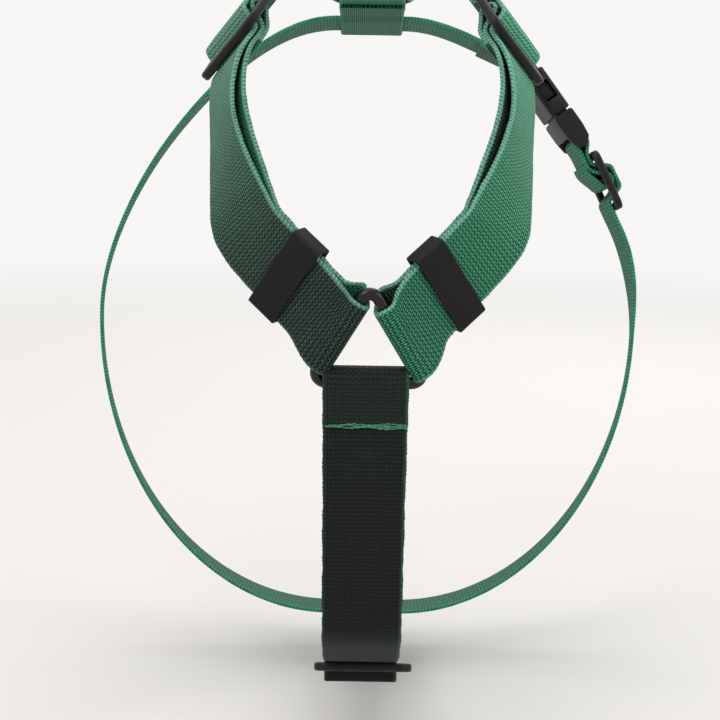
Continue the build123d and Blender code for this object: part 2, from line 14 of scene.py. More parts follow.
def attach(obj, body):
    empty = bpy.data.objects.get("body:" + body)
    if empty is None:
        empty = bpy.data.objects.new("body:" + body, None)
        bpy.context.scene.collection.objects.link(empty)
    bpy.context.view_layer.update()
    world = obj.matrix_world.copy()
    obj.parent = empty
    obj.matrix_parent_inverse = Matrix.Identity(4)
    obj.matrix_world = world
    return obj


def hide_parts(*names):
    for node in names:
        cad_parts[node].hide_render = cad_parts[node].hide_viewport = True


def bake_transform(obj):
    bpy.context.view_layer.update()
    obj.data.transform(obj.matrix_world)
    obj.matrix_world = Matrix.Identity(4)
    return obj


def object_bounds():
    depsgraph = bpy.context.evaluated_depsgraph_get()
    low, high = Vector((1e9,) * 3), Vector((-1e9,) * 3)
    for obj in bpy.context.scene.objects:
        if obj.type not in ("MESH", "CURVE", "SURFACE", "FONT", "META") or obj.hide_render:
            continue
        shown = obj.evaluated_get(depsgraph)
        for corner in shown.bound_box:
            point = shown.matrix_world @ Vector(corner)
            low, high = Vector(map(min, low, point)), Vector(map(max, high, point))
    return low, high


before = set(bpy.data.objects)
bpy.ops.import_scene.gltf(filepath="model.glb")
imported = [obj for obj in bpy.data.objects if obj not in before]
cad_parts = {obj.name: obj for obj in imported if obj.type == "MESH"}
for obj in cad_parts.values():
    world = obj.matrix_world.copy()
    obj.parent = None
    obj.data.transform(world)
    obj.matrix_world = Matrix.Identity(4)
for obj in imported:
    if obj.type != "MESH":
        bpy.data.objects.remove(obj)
cad_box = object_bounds()
scene = bpy.context.scene
scene.view_settings.view_transform = "Standard"

MM = 0.001
X = np.array([1.0, 0.0, 0.0])
Z = np.array([0.0, 0.0, 1.0])
FLIP = np.array([-1.0, 1.0, 1.0])    # from one side of the dog to the other


def vec(*c):
    return np.array(c, float)


def unit(v):
    return v / np.linalg.norm(v)


def units(v):
    """Each row scaled to unit length."""
    return v / np.linalg.norm(v, axis=1)[:, None]


def tangents(p):
    """Unit tangents along a polyline."""
    t = np.gradient(p, axis=0)
    return t / (np.linalg.norm(t, axis=1)[:, None] + 1e-12)


def lengths(p):
    """Distance along a polyline to each of its points."""
    return np.r_[0, np.cumsum(np.linalg.norm(np.diff(p, axis=0), axis=1))]


def at_lengths(t, s, p):
    """Rows of p, known at distances s, at distances t."""
    return np.stack([np.interp(t, s, column) for column in p.T], 1)


def smooth(x):
    """0 below 0, 1 above 1, and an easy curve between."""
    k = np.clip(x, 0, 1)
    return k * k * (3 - 2 * k)


# ---- sizes, as in the CAD model ----
web_w = 25.0
web_t = 1.4
bar_w = 22.0
half_pair = 0.95
sewn = 0.65
ring_side = 35.0
ring_corner = 2.9
ring_r = 1.9
ring_in = ring_side / (2 * 3 ** 0.5)
loop_r = 2.8
glide_w = 33.5
glide_l = 25.4
glide_t = 3.0
slot_w = 27.4
slot_l = 7.8
slot_at = 5.4
run_y = -2.55
fix_y = -4.45
tear_r = 2.6
hump_y = 4.3
wrap = 1.7
keeper_l = 10.5
keeper_wall = 1.3
keeper_in_w = 25.6
keeper_in_t = 3.9
cut_x = 9.0                     # where a strap is divided on each side of a slider
STEP = 0.3                      # spacing of the stations along a strap
spread_l = 12.0                 # length over which a strap widens after a ring bar
fold_w = 24.8                   # width of the shoulder straps on the chest ring
side_in, side_out = 13.2, 16.0  # straight webbing before and after each slider's centre bar
girth_in, girth_out = 9.0, 20.0
chest_in, chest_out = 18.0, 13.0

chest_at = vec(0, -114, -112)
ring_lean = radians(12)
girth_lean = radians(8.65)
ring_up = vec(0, -sin(ring_lean), cos(ring_lean))
girth_up = vec(0, sin(girth_lean), cos(girth_lean))
girth_aft = vec(0, cos(girth_lean), -sin(girth_lean))
back_bar = vec(0, ring_in, 0)
girth_behind = 75.2
girth_half_h = 118.6
girth_half_w = 108.0
girth_flat = 14.0
girth_at = back_bar + girth_aft * girth_behind - girth_up * girth_half_h


class Plan:
    """A plane with origin o, axes x and y in it, and z square to it."""

    def __init__(self, o, x, y):
        self.o = np.array(o, float)
        self.x = unit(x)
        self.y = unit(y)
        self.z = np.cross(self.x, self.y)

    def lift(self, pts):
        pts = np.array(pts, float)
        return self.o + pts[:, :1] * self.x + pts[:, 1:2] * self.y

    def matrix(self):
        """Local millimetres (x, y, z) to row metres."""
        m = Matrix.Identity(4)
        for i in range(3):
            m[i][0], m[i][1], m[i][2] = (MM * self.x[i], MM * self.y[i], MM * self.z[i])
            m[i][3] = MM * self.o[i]
        return m


# ---- lines in a plane ----
def arc(centre, r, a0, a1, n=24):
    a = np.radians(np.linspace(a0, a1, n))
    return np.stack([centre[0] + r * np.cos(a), centre[1] + r * np.sin(a)], 1)


def cubic(t, p0, m0, p1, m1):
    """Points at t between p0 and p1, which the curve leaves and meets at velocities m0 and m1."""
    return ((2 * t ** 3 - 3 * t ** 2 + 1) * p0 + (t ** 3 - 2 * t ** 2 + t) * m0
            + (3 * t ** 2 - 2 * t ** 3) * p1 + (t ** 3 - t ** 2) * m1)


def hermite(p0, d0, p1, d1, n=24, pull=1.0):
    """Curve from p0 along d0 to p1 along d1."""
    p0, d0, p1, d1 = (np.array(v, float) for v in (p0, d0, p1, d1))
    k = np.linalg.norm(p1 - p0) * pull
    return cubic(np.linspace(0, 1, n)[:, None], p0, unit(d0) * k, p1, unit(d1) * k)


def rounded(points, radius):
    """Polyline with its corners rounded."""
    p = [np.array(q, float) for q in points]
    out = [p[0][None]]
    for a, b, c in zip(p, p[1:], p[2:]):
        u, v = unit(a - b), unit(c - b)
        half = np.arccos(np.clip(u @ v, -1, 1)) / 2
        reach = min(radius / tan(half), 0.49 * np.linalg.norm(a - b),
                    0.49 * np.linalg.norm(c - b))
        out.append(hermite(b + u * reach, -u, b + v * reach, v, 14, 1.15))
    out.append(p[-1][None])
    return np.concatenate(out)


def spline(points, first, last):
    """Smooth curve through the points, leaving along first and arriving along last."""
    p = np.array(points, float)
    h = np.linalg.norm(np.diff(p, axis=0), axis=1)
    m = np.zeros_like(p)
    m[0], m[-1] = unit(np.array(first, float)), unit(np.array(last, float))
    count = len(p) - 2
    if count:
        a = np.zeros((count, count))
        b = np.zeros((count, p.shape[1]))
        for i in range(1, len(p) - 1):
            r = i - 1
            a[r, r] = 2 * (h[i - 1] + h[i])
            b[r] = 3 * (h[i] * (p[i] - p[i - 1]) / h[i - 1]
                        + h[i - 1] * (p[i + 1] - p[i]) / h[i])
            if r:
                a[r, r - 1] = h[i]
            else:
                b[r] -= h[i] * m[0]
            if r < count - 1:
                a[r, r + 1] = h[i - 1]
            else:
                b[r] -= h[i - 1] * m[-1]
        m[1:-1] = np.linalg.solve(a, b)
    out = []
    for i in range(len(p) - 1):
        t = np.linspace(0, 1, max(8, int(160 * h[i] / h.sum())))[:, None]
        out.append(cubic(t, p[i], m[i] * h[i], p[i + 1], m[i + 1] * h[i]))
    return np.concatenate(out)


def bar_loop(r, run, flap, start_len, end_len, taper=13.0, leave=78.0, pull=1.0):
    """Section of a strap round a bar at the origin: in at y=run, out at y=flap, loop on -x."""
    side = 1 if run > flap else -1
    c, d = cos(radians(leave)), sin(radians(leave))
    lead = hermite((taper, run), (-1, 0), (r * c, side * r * d), (-d, side * c), 24, pull)
    turn = arc((0, 0), r, side * leave, side * (360 - leave), 36)
    tail = hermite(turn[-1], (d, side * c), (taper, flap), (1, 0), 24, pull)
    return np.concatenate([[(start_len, run)], lead, turn, tail, [(end_len, flap)]])


def eye(low, fixed, flap, out):
    """Fixed end round a slider's centre bar: in along the flap, out along the fixed layer."""
    start = arc((0, 0), tear_r, -70, 150, 40)
    lead = hermite((-7.4, low), (1, 0), start[0], (0.94, 0.34), 16, 0.9)
    tail = hermite(start[-1], (-0.5, -0.866), (-8.0, fixed), (-1, 0), 20, 0.9)
    return np.concatenate([[(flap, low)], lead, start, tail, [(out, fixed)]])


def hump(a, b):
    """Running layer over a slider's centre bar, from x=a to x=b."""
    s = 1 if b > a else -1
    return rounded([(a, run_y), (-8.2 * s, run_y), (-4.6 * s, hump_y), (4.6 * s, hump_y),
                    (8.2 * s, run_y), (b, run_y)], 1.9)


# ---- routes: points, across vectors and widths of a strap, end to end ----
def resample(p, a, w, tag):
    """Even stations along a strap, with slight rounding of its line."""
    keep = np.r_[True, np.linalg.norm(np.diff(p, axis=0), axis=1) > 1e-4]
    p, a, w, tag = p[keep], a[keep], w[keep], tag[keep]
    s = lengths(p)
    t = np.linspace(0, s[-1], int(s[-1] / STEP) + 1)
    q, b = at_lengths(t, s, p), at_lengths(t, s, a)
    tags = tag[np.clip(np.searchsorted(s, t, side="right") - 1, 0, len(tag) - 1)]
    for _ in range(6):
        q[1:-1] = (q[:-2] + 2 * q[1:-1] + q[2:]) / 4
        b[1:-1] = (b[:-2] + 2 * b[1:-1] + b[2:]) / 4
    return q, units(b), np.interp(t, s, w), tags, t


class Route:
    """One strap's centre line from end to end, with the direction across it."""

    def __init__(self):
        self.p, self.a, self.w, self.tag = [], [], [], []

    def add(self, p, across, width=None, tag=0):
        p = np.array(p, float)
        across = np.array(across, float)
        if across.ndim == 1:
            across = np.repeat(across[None], len(p), 0)
        if width is None:
            square = np.linalg.norm(np.cross(across, tangents(p)), axis=1)
            width = web_w / np.maximum(square, 0.7)
        self.p.append(p)
        self.a.append(across)
        self.w.append(np.broadcast_to(width, len(p)).astype(float))
        self.tag.append(np.full(len(p), tag))
        return self

    def done(self, mirrored=False):
        p, a, w, tag, s = resample(np.concatenate(self.p), np.concatenate(self.a),
                                   np.concatenate(self.w), np.concatenate(self.tag))
        if mirrored:
            p, a = p * FLIP, a * -FLIP
        return {"p": p, "a": a, "w": w, "tag": tag, "s": s}


def faces_across(p, start, end, faces, first_across=None):
    """Across vectors along p from face directions spread evenly along it."""
    s = lengths(p)
    s /= s[-1]
    table = np.array([start, *faces, end], float)
    face = at_lengths(s, np.linspace(0, 1, len(table)), table)
    for _ in range(60):
        face[1:-1] = (face[:-2] + face[1:-1] + face[2:]) / 3
    across = units(np.cross(face, tangents(p)))
    if first_across is not None:
        k = smooth(1 - s / 0.12)[:, None]
        across = units(across * (1 - k) + first_across * k)
    return across


def widened(section, low, full):
    """Width along a bar loop that is low on the bar and full after it."""
    return low + (full - low) * smooth(section[:, 0] / spread_l)


# shoulder strap, dog's right side (-X); the other one is its mirror image
bar_dir = unit(X * -0.5 - ring_up * 0.8660254)
chest_bar = chest_at + (X * -0.8660254 + ring_up * 0.5) * ring_in
shoulder_pull = unit(vec(-0.66, 0.315, 0.682))
shoulder_run = unit(shoulder_pull - bar_dir * (shoulder_pull @ bar_dir))
shoulder_face = np.cross(shoulder_run, bar_dir)
chest_slope = tan(radians(-11))
pair_l = 36.0
pair_end = chest_bar + (shoulder_run + bar_dir * chest_slope) * pair_l
pair_dir = unit(shoulder_run + bar_dir * chest_slope)
glide_at = vec(-42.0, -56.0, -19.5)
glide_face = unit(vec(-0.79, -0.12, 0.60))
glide_run = vec(0.35, 0.78, 0.51)
glide_run = unit(glide_run - glide_face * (glide_run @ glide_face))
glide_across = np.cross(glide_face, glide_run)
glide_plan = Plan(glide_at, glide_run, glide_face)
withers_out = vec(-cos(radians(30)), -sin(radians(30)), 0)
withers_bar = withers_out * ring_in
withers_across = np.cross(Z, withers_out)
withers_skew = radians(18)
withers_slope = tan(withers_skew)
withers_l = 14.0
withers_end = withers_bar + (withers_out + withers_across * withers_slope) * withers_l
withers_dir = unit(withers_out + withers_across * withers_slope)
keeper_turn = radians(-10.0)      # the doubled strap twists a little from the ring to its keeper
pair_face = shoulder_face * cos(keeper_turn) + np.cross(pair_dir, shoulder_face) * sin(keeper_turn)
pair_across = np.cross(pair_face, pair_dir)
withers_plan = Plan(withers_bar, withers_out, Z)

side_pts = [pair_end + pair_face * half_pair, vec(-41.6, -94.4, -67.6),
            vec(-45.2, -83.0, -53.0), glide_plan.lift([(-side_in, run_y)])[0]]
side_faces = [(-0.56, -0.80, 0.06), (-0.76, -0.62, 0.11), (-0.88, -0.42, 0.15),
              (-0.93, -0.24, 0.24), (-0.92, -0.18, 0.33), (-0.88, -0.16, 0.45)]
outer = spline(side_pts, pair_dir, glide_run)
outer_across = faces_across(outer, pair_face, glide_face, side_faces, pair_across)
outer_s = lengths(outer)
outer_s /= outer_s[-1]
inner_pts = [pair_end - pair_face * half_pair]
for i, (depth, rise) in enumerate(zip([2.2, 2.9, 3.3, 3.3, 2.9, 2.3],
                                      [0.5, 1.4, 2.1, 2.1, 1.4, 0.5])):
    k = int(np.searchsorted(outer_s, (i + 1) / 7))
    away = np.cross(outer[k + 1] - outer[k - 1], outer_across[k])
    inner_pts.append(outer[k] - unit(away) * depth - outer_across[k] * rise)
inner_pts.append(glide_plan.lift([(-side_in, fix_y)])[0])
inner = spline(inner_pts, pair_dir, glide_run)
inner_across = faces_across(inner, pair_face, glide_face, side_faces, pair_across)

low_y = fix_y - 2 * sewn
eye_line = eye(low_y, fix_y, -12.4, -side_in)
withers_full = web_w / cos(withers_skew)
chest_loop = bar_loop(loop_r, -half_pair, half_pair, pair_l, pair_l, 14.0, 84.0, 0.75)
turn_l, fan_l = 9.0, 9.5        # lengths over which the fold turns and its layers close up
fan_by = 0.8, -3.8              # outer and inner layer's offset along the bar
fold_at = 0.2, 2.3              # the whole fold's offset along the bar, left and right


def chest_fold(mirrored):
    """The doubled strap at the chest ring: full width on the bar, its two layers fanned apart by
    the bar and lying square on each other again in the keeper."""
    x, y = chest_loop[:, 0], chest_loop[:, 1]
    turn = (keeper_turn * smooth((x - 1) / turn_l))[:, None]
    face = shoulder_face * np.cos(turn) + np.cross(pair_dir, shoulder_face) * np.sin(turn)
    across = np.cross(face, pair_dir)
    on_bar = (1 - smooth(x / turn_l))[:, None]
    across = units(across * (1 - on_bar) + bar_dir * on_bar)
    fade = 1 - smooth((x - 1) / fan_l)
    fan = smooth((x + loop_r) / 6) * fade * np.where(y > 0, *fan_by)
    fan = fan + fold_at[mirrored] * fade
    p = chest_bar + (shoulder_run + bar_dir * chest_slope) * x[:, None] + face * y[:, None]
    return p + bar_dir * fan[:, None], across


withers_loop = bar_loop(loop_r, sewn, -sewn, withers_l, 13.0, 9.0)
top = spline([glide_plan.lift([(side_out, run_y)])[0], withers_end + Z * sewn],
             glide_run, -withers_dir)
top_faces = [unit(glide_face * (1 - k) + Z * k) for k in (0.2, 0.45, 0.7, 0.88)]
top_across = faces_across(top, glide_face, Z, top_faces)
k = np.clip((np.linspace(0, 1, len(top)) - 0.8) / 0.2, 0, 1)[:, None]
top_across = units(top_across * (1 - k) - withers_across * k)

EYE, LOWER, HUMP, UPPER = 1, 2, 3, 4


def shoulder_route(mirrored):
    r = Route()
    r.add(glide_plan.lift(eye_line), glide_across, web_w, EYE)
    r.add(inner[::-1], inner_across[::-1], None, LOWER)
    p, across = chest_fold(mirrored)
    r.add(p, across, widened(chest_loop, fold_w, web_w), LOWER)
    r.add(outer, outer_across, None, LOWER)
    r.add(glide_plan.lift(hump(-side_in, side_out)), glide_across, web_w, HUMP)
    r.add(top, top_across, None, UPPER)
    p = withers_plan.lift(withers_loop) + withers_loop[:, :1] * withers_slope * withers_across
    r.add(p, -withers_across, widened(withers_loop, bar_w, withers_full), UPPER)
    return r.done(mirrored=mirrored)


# girth strap, in the plane of the girth loop
def girth_dir(x, v):
    return unit(X * x + girth_up * v)


buckle_out = girth_dir(0.807, 0.59)
buckle_run = girth_dir(0.59, -0.807)
buckle_at = girth_at + X * 76.0 + girth_up * 82.0
female_bar, male_bar = -24.0, 14.0
web_bar_r = 1.6
web_loop_r = 2.55
bar_to_glide = 18.0
sewn_l = 24.0
girth_turn = radians(9.0)       # twist of the girth strap at the sides
sewn_out = girth_dir(-0.914, 0.405)
sewn_face = girth_dir(0.405, 0.914)
sewn_at = buckle_at + buckle_run * female_bar
sewn_plan = Plan(sewn_at, sewn_out, sewn_face)
girth_run = girth_dir(0.435, -0.90)
girth_face = girth_dir(0.90, 0.435)
girth_glide_at = buckle_at + buckle_run * male_bar + girth_run * bar_to_glide - girth_face * run_y
girth_glide_plan = Plan(girth_glide_at, girth_run, girth_face)
girth_plan = Plan(girth_at, X, girth_up)
girth_across = np.cross(girth_face, girth_run)

BAR, NEAR, FAR = 5, 6, 7
near_l = 36.0                   # single stretch next to the male half
bend_l = 150.0                  # next stretch of the girth strap


def local(plan, p):
    d = np.array(p, float) - plan.o
    return (d @ plan.x, d @ plan.y)


def girth_route():
    r = Route()
    loop = bar_loop(web_loop_r, fix_y - run_y, 0, girth_in, girth_in, 6.0)
    loop[:, 0] -= bar_to_glide
    loop[:, 1] += run_y
    r.add(girth_glide_plan.lift(eye(low_y, fix_y, -girth_in, -girth_in)), girth_across, web_w, EYE)
    r.add(girth_glide_plan.lift(loop), girth_across, web_w, BAR)
    r.add(girth_glide_plan.lift(hump(-girth_in, girth_out)), girth_across, web_w, HUMP)
    w, h, f = girth_half_w, girth_half_h, girth_flat
    start = local(girth_plan, girth_glide_plan.lift([(girth_out, run_y)])[0])
    end = local(girth_plan, sewn_plan.lift([(sewn_l, sewn)])[0])
    belly = np.concatenate([
        spline([start, (w, 0)], (0.435, -0.90), (0, -1)),
        np.stack([f + (w - f) * np.sin(a := np.linspace(pi / 2, 0, 120)), -h * np.cos(a)], 1),
        np.stack([-f - (w - f) * np.sin(a := np.linspace(0, pi / 2, 120)), -h * np.cos(a)], 1),
        spline([(-w, 0), (-98.5, 40.0), (-66.0, 88.5), (-f, h)], (0, 1), (1, 0)),
        spline([(f, h), end], (1, 0), (0.914, -0.405)),
    ])
    belly = girth_plan.lift(belly)
    out = np.cross(tangents(belly), girth_across)
    s = lengths(belly)
    turn = girth_turn * out[:, 0] ** 2 * smooth((s - 8) / 40) * smooth((s[-1] - 8 - s) / 60)
    across = girth_across * np.cos(turn)[:, None] + out * np.sin(turn)[:, None]
    r.add(belly, across, web_w, FAR)
    r.add(sewn_plan.lift(bar_loop(web_loop_r, sewn, -sewn, sewn_l, 20.0, 9.0)),
          girth_across, web_w, FAR)
    return r.done()


# chest strap, in the middle plane
chest_bar_low = chest_at - ring_up * ring_in
hang_lean = radians(8)
hang_run = vec(0, sin(hang_lean), -cos(hang_lean))
hang_face = vec(0, -cos(hang_lean), -sin(hang_lean))
hang_plan = Plan(chest_bar_low, hang_run, hang_face)
hang_l, flap_l = 26.0, 13.5
hang_y, flap_y = -0.72, 0.75
hang_loop_r = 3.4
girth_bottom = girth_at - girth_up * girth_half_h
chest_off = 93.6
chest_glide_at = girth_bottom - girth_aft * chest_off - girth_up * (wrap - run_y)
chest_glide_plan = Plan(chest_glide_at, -girth_aft, -girth_up)
chest_shift = 0.8               # the strap hangs a little to the left
chest_tilt = radians(12.4)      # the slider lies along the strap that comes down to it
tilted_plan = Plan(chest_glide_at, -girth_aft * cos(chest_tilt) + girth_up * sin(chest_tilt),
                   -girth_up * cos(chest_tilt) - girth_aft * sin(chest_tilt))


def chest_route():
    r = Route()
    loop = bar_loop(hang_loop_r, flap_y, hang_y, flap_l, hang_l, 11.0)
    loop[:, 0] -= 0.9 * (1 - smooth(loop[:, 0] / 10))
    r.add(hang_plan.lift(loop), X, web_w + 0.3, FAR)
    start = hang_plan.lift([(hang_l, hang_y)])[0]
    end = tilted_plan.lift([(chest_in, run_y)])[0]
    hang = spline([start, (0, -98.3, -191.0), (0, -94.2, -205.2), (0, -84.0, -214.2), end],
                  hang_run, -tilted_plan.x)
    r.add(hang, X, web_w, FAR)
    r.add(tilted_plan.lift(hump(chest_in, -chest_out)), X, web_w, HUMP)
    x = -chest_off - web_w / 2 - 0.1 - wrap
    back = chest_glide_plan.lift(rounded([
        (-40.0, run_y), (x, run_y), (x, run_y - 2 * wrap), (-80.0, run_y - 2 * wrap),
        (-64.0, fix_y), (-40.0, fix_y)], wrap - 0.02))
    away = spline([tilted_plan.lift([(-chest_out, run_y)])[0], back[0]], -tilted_plan.x, girth_aft)
    home = spline([back[-1], tilted_plan.lift([(-9.0, fix_y)])[0]], -girth_aft, tilted_plan.x)
    r.add(np.concatenate([away, back, home]), X, web_w, NEAR)
    tail = eye(fix_y - web_t - 0.15, fix_y, -20.0, -9.0)[::-1]
    r.add(tilted_plan.lift(tail), X, web_w, EYE)
    route = r.done()
    route["p"] = route["p"] - X * chest_shift
    return route


# back strap, along the spine
back_plan = Plan(back_bar, girth_aft, girth_up)
back_x = girth_behind + web_w / 2 + 0.1 + wrap


def back_route():
    r = Route()
    loop = bar_loop(loop_r, -sewn, sewn, 24.0, 30.0, 9.0)
    r.add(back_plan.lift(loop), -X, widened(loop, bar_w, web_w), FAR)
    line = rounded([(30.0, sewn), (53.0, sewn), (61.0, wrap), (back_x, wrap), (back_x, -wrap),
                    (61.0, -wrap), (53.0, -sewn), (38.0, -sewn)], wrap - 0.02)
    r.add(back_plan.lift(line), -X, web_w, FAR)
    return r.done()


tab_at, tab_t, tab_w = 34.0, 1.2, 22.0
leash_r = 1.75
leash_y = web_t + 0.3 + leash_r


def tab_route():
    y0, y1 = web_t + 0.05 + tab_t / 2, leash_y + leash_r + 0.25 + tab_t / 2
    line = rounded([(tab_at - 9.0, y0), (tab_at - 4.2, y0), (tab_at - 2.6, y1),
                    (tab_at + 2.6, y1), (tab_at + 4.2, y0), (tab_at + 9.0, y0)], 1.5)
    return Route().add(back_plan.lift(line), -X, tab_w, FAR).done()


# ---- webbing mesh ----
PICK = 1.35                     # spacing of the weft along the webbing
END = 0.78                      # spacing of the warp across it


def strip(name, route, first, last, seed, thick=web_t):
    """Webbing between two stations of a route, with corded selvedges. Its 'web' attribute holds
    across and along distances in millimetres, and the side: 1 front, -1 back."""
    p, a, w, s = (route[key][first:last + 1] for key in ("p", "a", "w", "s"))
    n = units(np.cross(tangents(route["p"])[first:last + 1], a))
    h = thick / 2
    ring = []
    for side in (1, -1):
        for f in (-0.78, -0.58, -0.38, -0.19, 0, 0.19, 0.38, 0.58, 0.78):
            ring.append((side * f, 0, side))
        for ang in (85, 60, 35, 10, -10, -35, -60, -85):
            ring.append((side, ang, side))
    rows = []
    half = w / 2
    wave = 0.09 * np.sin(s * 0.31 + seed) + 0.06 * np.sin(s * 0.83 + 2.1 * seed)
    web = []
    for f, ang, side in ring:
        if ang == 0:
            u = f * (half - 1.2)
            y = np.full_like(s, side * h)
        else:
            phase = 0.0 if side > 0 else pi * 0.9
            uneven = 0.55 + 0.45 * np.sin(s * 1.9 + 3 * seed) * np.sin(s * 0.73 + seed)
            cord = uneven * (0.5 + 0.5 * np.sin(2 * pi * s / PICK + phase
                                                + 0.8 * np.sin(s * 0.27 + seed)))
            c, d = cos(radians(ang)), sin(radians(ang))
            reach = half - h + wave + (h + 0.20 * cord - 0.05) * c
            u = side * reach
            y = side * d * h * (1.0 + 0.16 * cord * (1 - abs(d)) + 0.05)
        rows.append(p + a * u[:, None] + n * y[:, None])
        web.append(np.stack([u * web_w / w, s, y / h], 1))
    count, length = len(ring), len(s)
    verts = np.stack(rows, 1).reshape(-1, 3) * MM
    data = np.stack(web, 1).reshape(-1, 3)
    i = np.arange(length - 1)[:, None] * count
    j = np.arange(count)[None]
    k = (j + 1) % count
    quads = np.stack([i + j, i + k, i + count + k, i + count + j], 2).reshape(-1, 4)
    faces = quads.tolist()
    faces.append(list(range(count))[::-1])
    faces.append([(length - 1) * count + q for q in range(count)])
    mesh = bpy.data.meshes.new(name)
    mesh.from_pydata(verts.tolist(), [], faces)
    mesh.attributes.new("web", "FLOAT_VECTOR", "POINT").data.foreach_set("vector", data.ravel())
    return finish_mesh(name, mesh)


def finish_mesh(name, mesh, angle=None):
    """Object with smooth faces pointing outwards, and sharp edges above the angle."""
    bm = bmesh.new()
    bm.from_mesh(mesh)
    bmesh.ops.recalc_face_normals(bm, faces=bm.faces)
    for f in bm.faces:
        f.smooth = True
    if angle:
        for e in bm.edges:
            if len(e.link_faces) == 2 and e.calc_face_angle(0) > radians(angle):
                e.smooth = False
    bm.to_mesh(mesh)
    bm.free()
    mesh.update()
    obj = bpy.data.objects.new(name, mesh)
    scene.collection.objects.link(obj)
    return obj


def stations(route, tag):
    """First and last station of a tagged stretch."""
    found = np.nonzero(route["tag"] == tag)[0]
    return int(found[0]), int(found[-1])


def join(name, objs):
    bpy.ops.object.select_all(action="DESELECT")
    for o in objs:
        o.select_set(True)
    bpy.context.view_layer.objects.active = objs[0]
    bpy.ops.object.join()
    objs[0].name = name
    return objs[0]


def tube_faces(rings, sides, base=0, closed=False):
    """Faces between rings of points, with caps if the tube is open."""
    faces = []
    for k in range(rings if closed else rings - 1):
        a, b = base + k * sides, base + (k + 1) % rings * sides
        faces += [(a + j, a + (j + 1) % sides, b + (j + 1) % sides, b + j) for j in range(sides)]
    if not closed:
        faces += [tuple(range(base, base + sides)),
                  tuple(range(base + (rings - 1) * sides, base + rings * sides))]
    return faces


# ---- hardware meshes ----
def wire(name, points, r, normal=None):
    """Round wire along a smooth flat closed line. With a normal, which is a direction square to
    the line, the line is open and its ends are capped."""
    p = np.array(points, float)
    closed = normal is None
    t = np.roll(p, -1, 0) - np.roll(p, 1, 0) if closed else np.gradient(p, axis=0)
    t = units(t)
    if closed:
        centre = p.mean(0)
        normal = unit(np.cross(p[0] - centre, p[len(p) // 4] - centre))
    out = units(np.cross(t, normal))
    sides = 28
    ang = np.linspace(0, 2 * pi, sides, endpoint=False)
    v = (p[:, None] + r * (np.cos(ang)[None, :, None] * out[:, None]
                           + np.sin(ang)[None, :, None] * normal))
    mesh = bpy.data.meshes.new(name)
    mesh.from_pydata((v.reshape(-1, 3) * MM).tolist(), [], tube_faces(len(p), sides, 0, closed))
    return finish_mesh(name, mesh)


def closed_line(corners, radius, step=0.5):
    """Closed polyline with rounded corners, evenly divided."""
    c = [np.array(q, float) for q in corners]
    out = []
    for i in range(len(c)):
        a, b, d = c[i - 1], c[i], c[(i + 1) % len(c)]
        u, v = unit(a - b), unit(d - b)
        half = np.arccos(u @ v) / 2
        reach = radius / tan(half)
        centre = b + unit(u + v) * radius / sin(half)
        p0, p1 = b + u * reach, b + v * reach
        a0 = np.arctan2(*(p0 - centre)[::-1])
        a1 = np.arctan2(*(p1 - centre)[::-1])
        a1 = a0 + (a1 - a0 + pi) % (2 * pi) - pi
        ang = np.linspace(a0, a1, 20)
        out.append(np.stack([centre[0] + radius * np.cos(ang),
                             centre[1] + radius * np.sin(ang)], 1))
    p = np.concatenate(out + [out[0][:1]])
    s = lengths(p)
    return at_lengths(np.linspace(0, s[-1], int(s[-1] / step), endpoint=False), s, p)


def slab(name, plan, outlines, thick, bevel, segments=3):
    """Plate with rounded edges: the first outline is its rim, the others are holes."""
    curve = bpy.data.curves.new(name, "CURVE")
    curve.dimensions = "2D"
    curve.fill_mode = "BOTH"
    curve.extrude = thick / 2 - bevel
    curve.bevel_depth = bevel
    curve.offset = -bevel
    curve.bevel_resolution = segments
    for pts in outlines:
        sp = curve.splines.new("POLY")
        sp.points.add(len(pts) - 1)
        for q, c in zip(sp.points, pts):
            q.co = (c[0], c[1], 0, 1)
        sp.use_cyclic_u = True
    tmp = bpy.data.objects.new(name, curve)
    scene.collection.objects.link(tmp)
    mesh = bpy.data.meshes.new_from_object(tmp.evaluated_get(
        bpy.context.evaluated_depsgraph_get()))
    bpy.data.objects.remove(tmp)
    bpy.data.curves.remove(curve)
    bm = bmesh.new()
    bm.from_mesh(mesh)
    bmesh.ops.remove_doubles(bm, verts=bm.verts, dist=1e-3)
    bm.to_mesh(mesh)
    bm.free()
    mesh.transform(plan.matrix())
    mesh.name = name
    return finish_mesh(name, mesh, angle=50)


def rect(cx, cy, w, h, r):
    return closed_line([(cx - w / 2, cy - h / 2), (cx + w / 2, cy - h / 2),
                        (cx + w / 2, cy + h / 2), (cx - w / 2, cy + h / 2)], r, 0.4)


def mark_edges(obj):
    """Stores how sharply the surface turns outwards at each vertex, for wear."""
    bm = bmesh.new()
    bm.from_mesh(obj.data)
    value = []
    for v in bm.verts:
        turn = [e.calc_face_angle_signed(0) for e in v.link_edges if len(e.link_faces) == 2]
        value.append(min(1.0, max([0.0] + turn) / 0.5))
    bm.free()
    obj.data.attributes.new("wear", "FLOAT", "POINT").data.foreach_set("value", value)


# ---- materials ----
def rgb(hex_code):
    """sRGB hex to linear."""
    c = [int(hex_code[i:i + 2], 16) / 255 for i in (0, 2, 4)]
    return [x / 12.92 if x <= 0.04045 else ((x + 0.055) / 1.055) ** 2.4 for x in c] + [1.0]


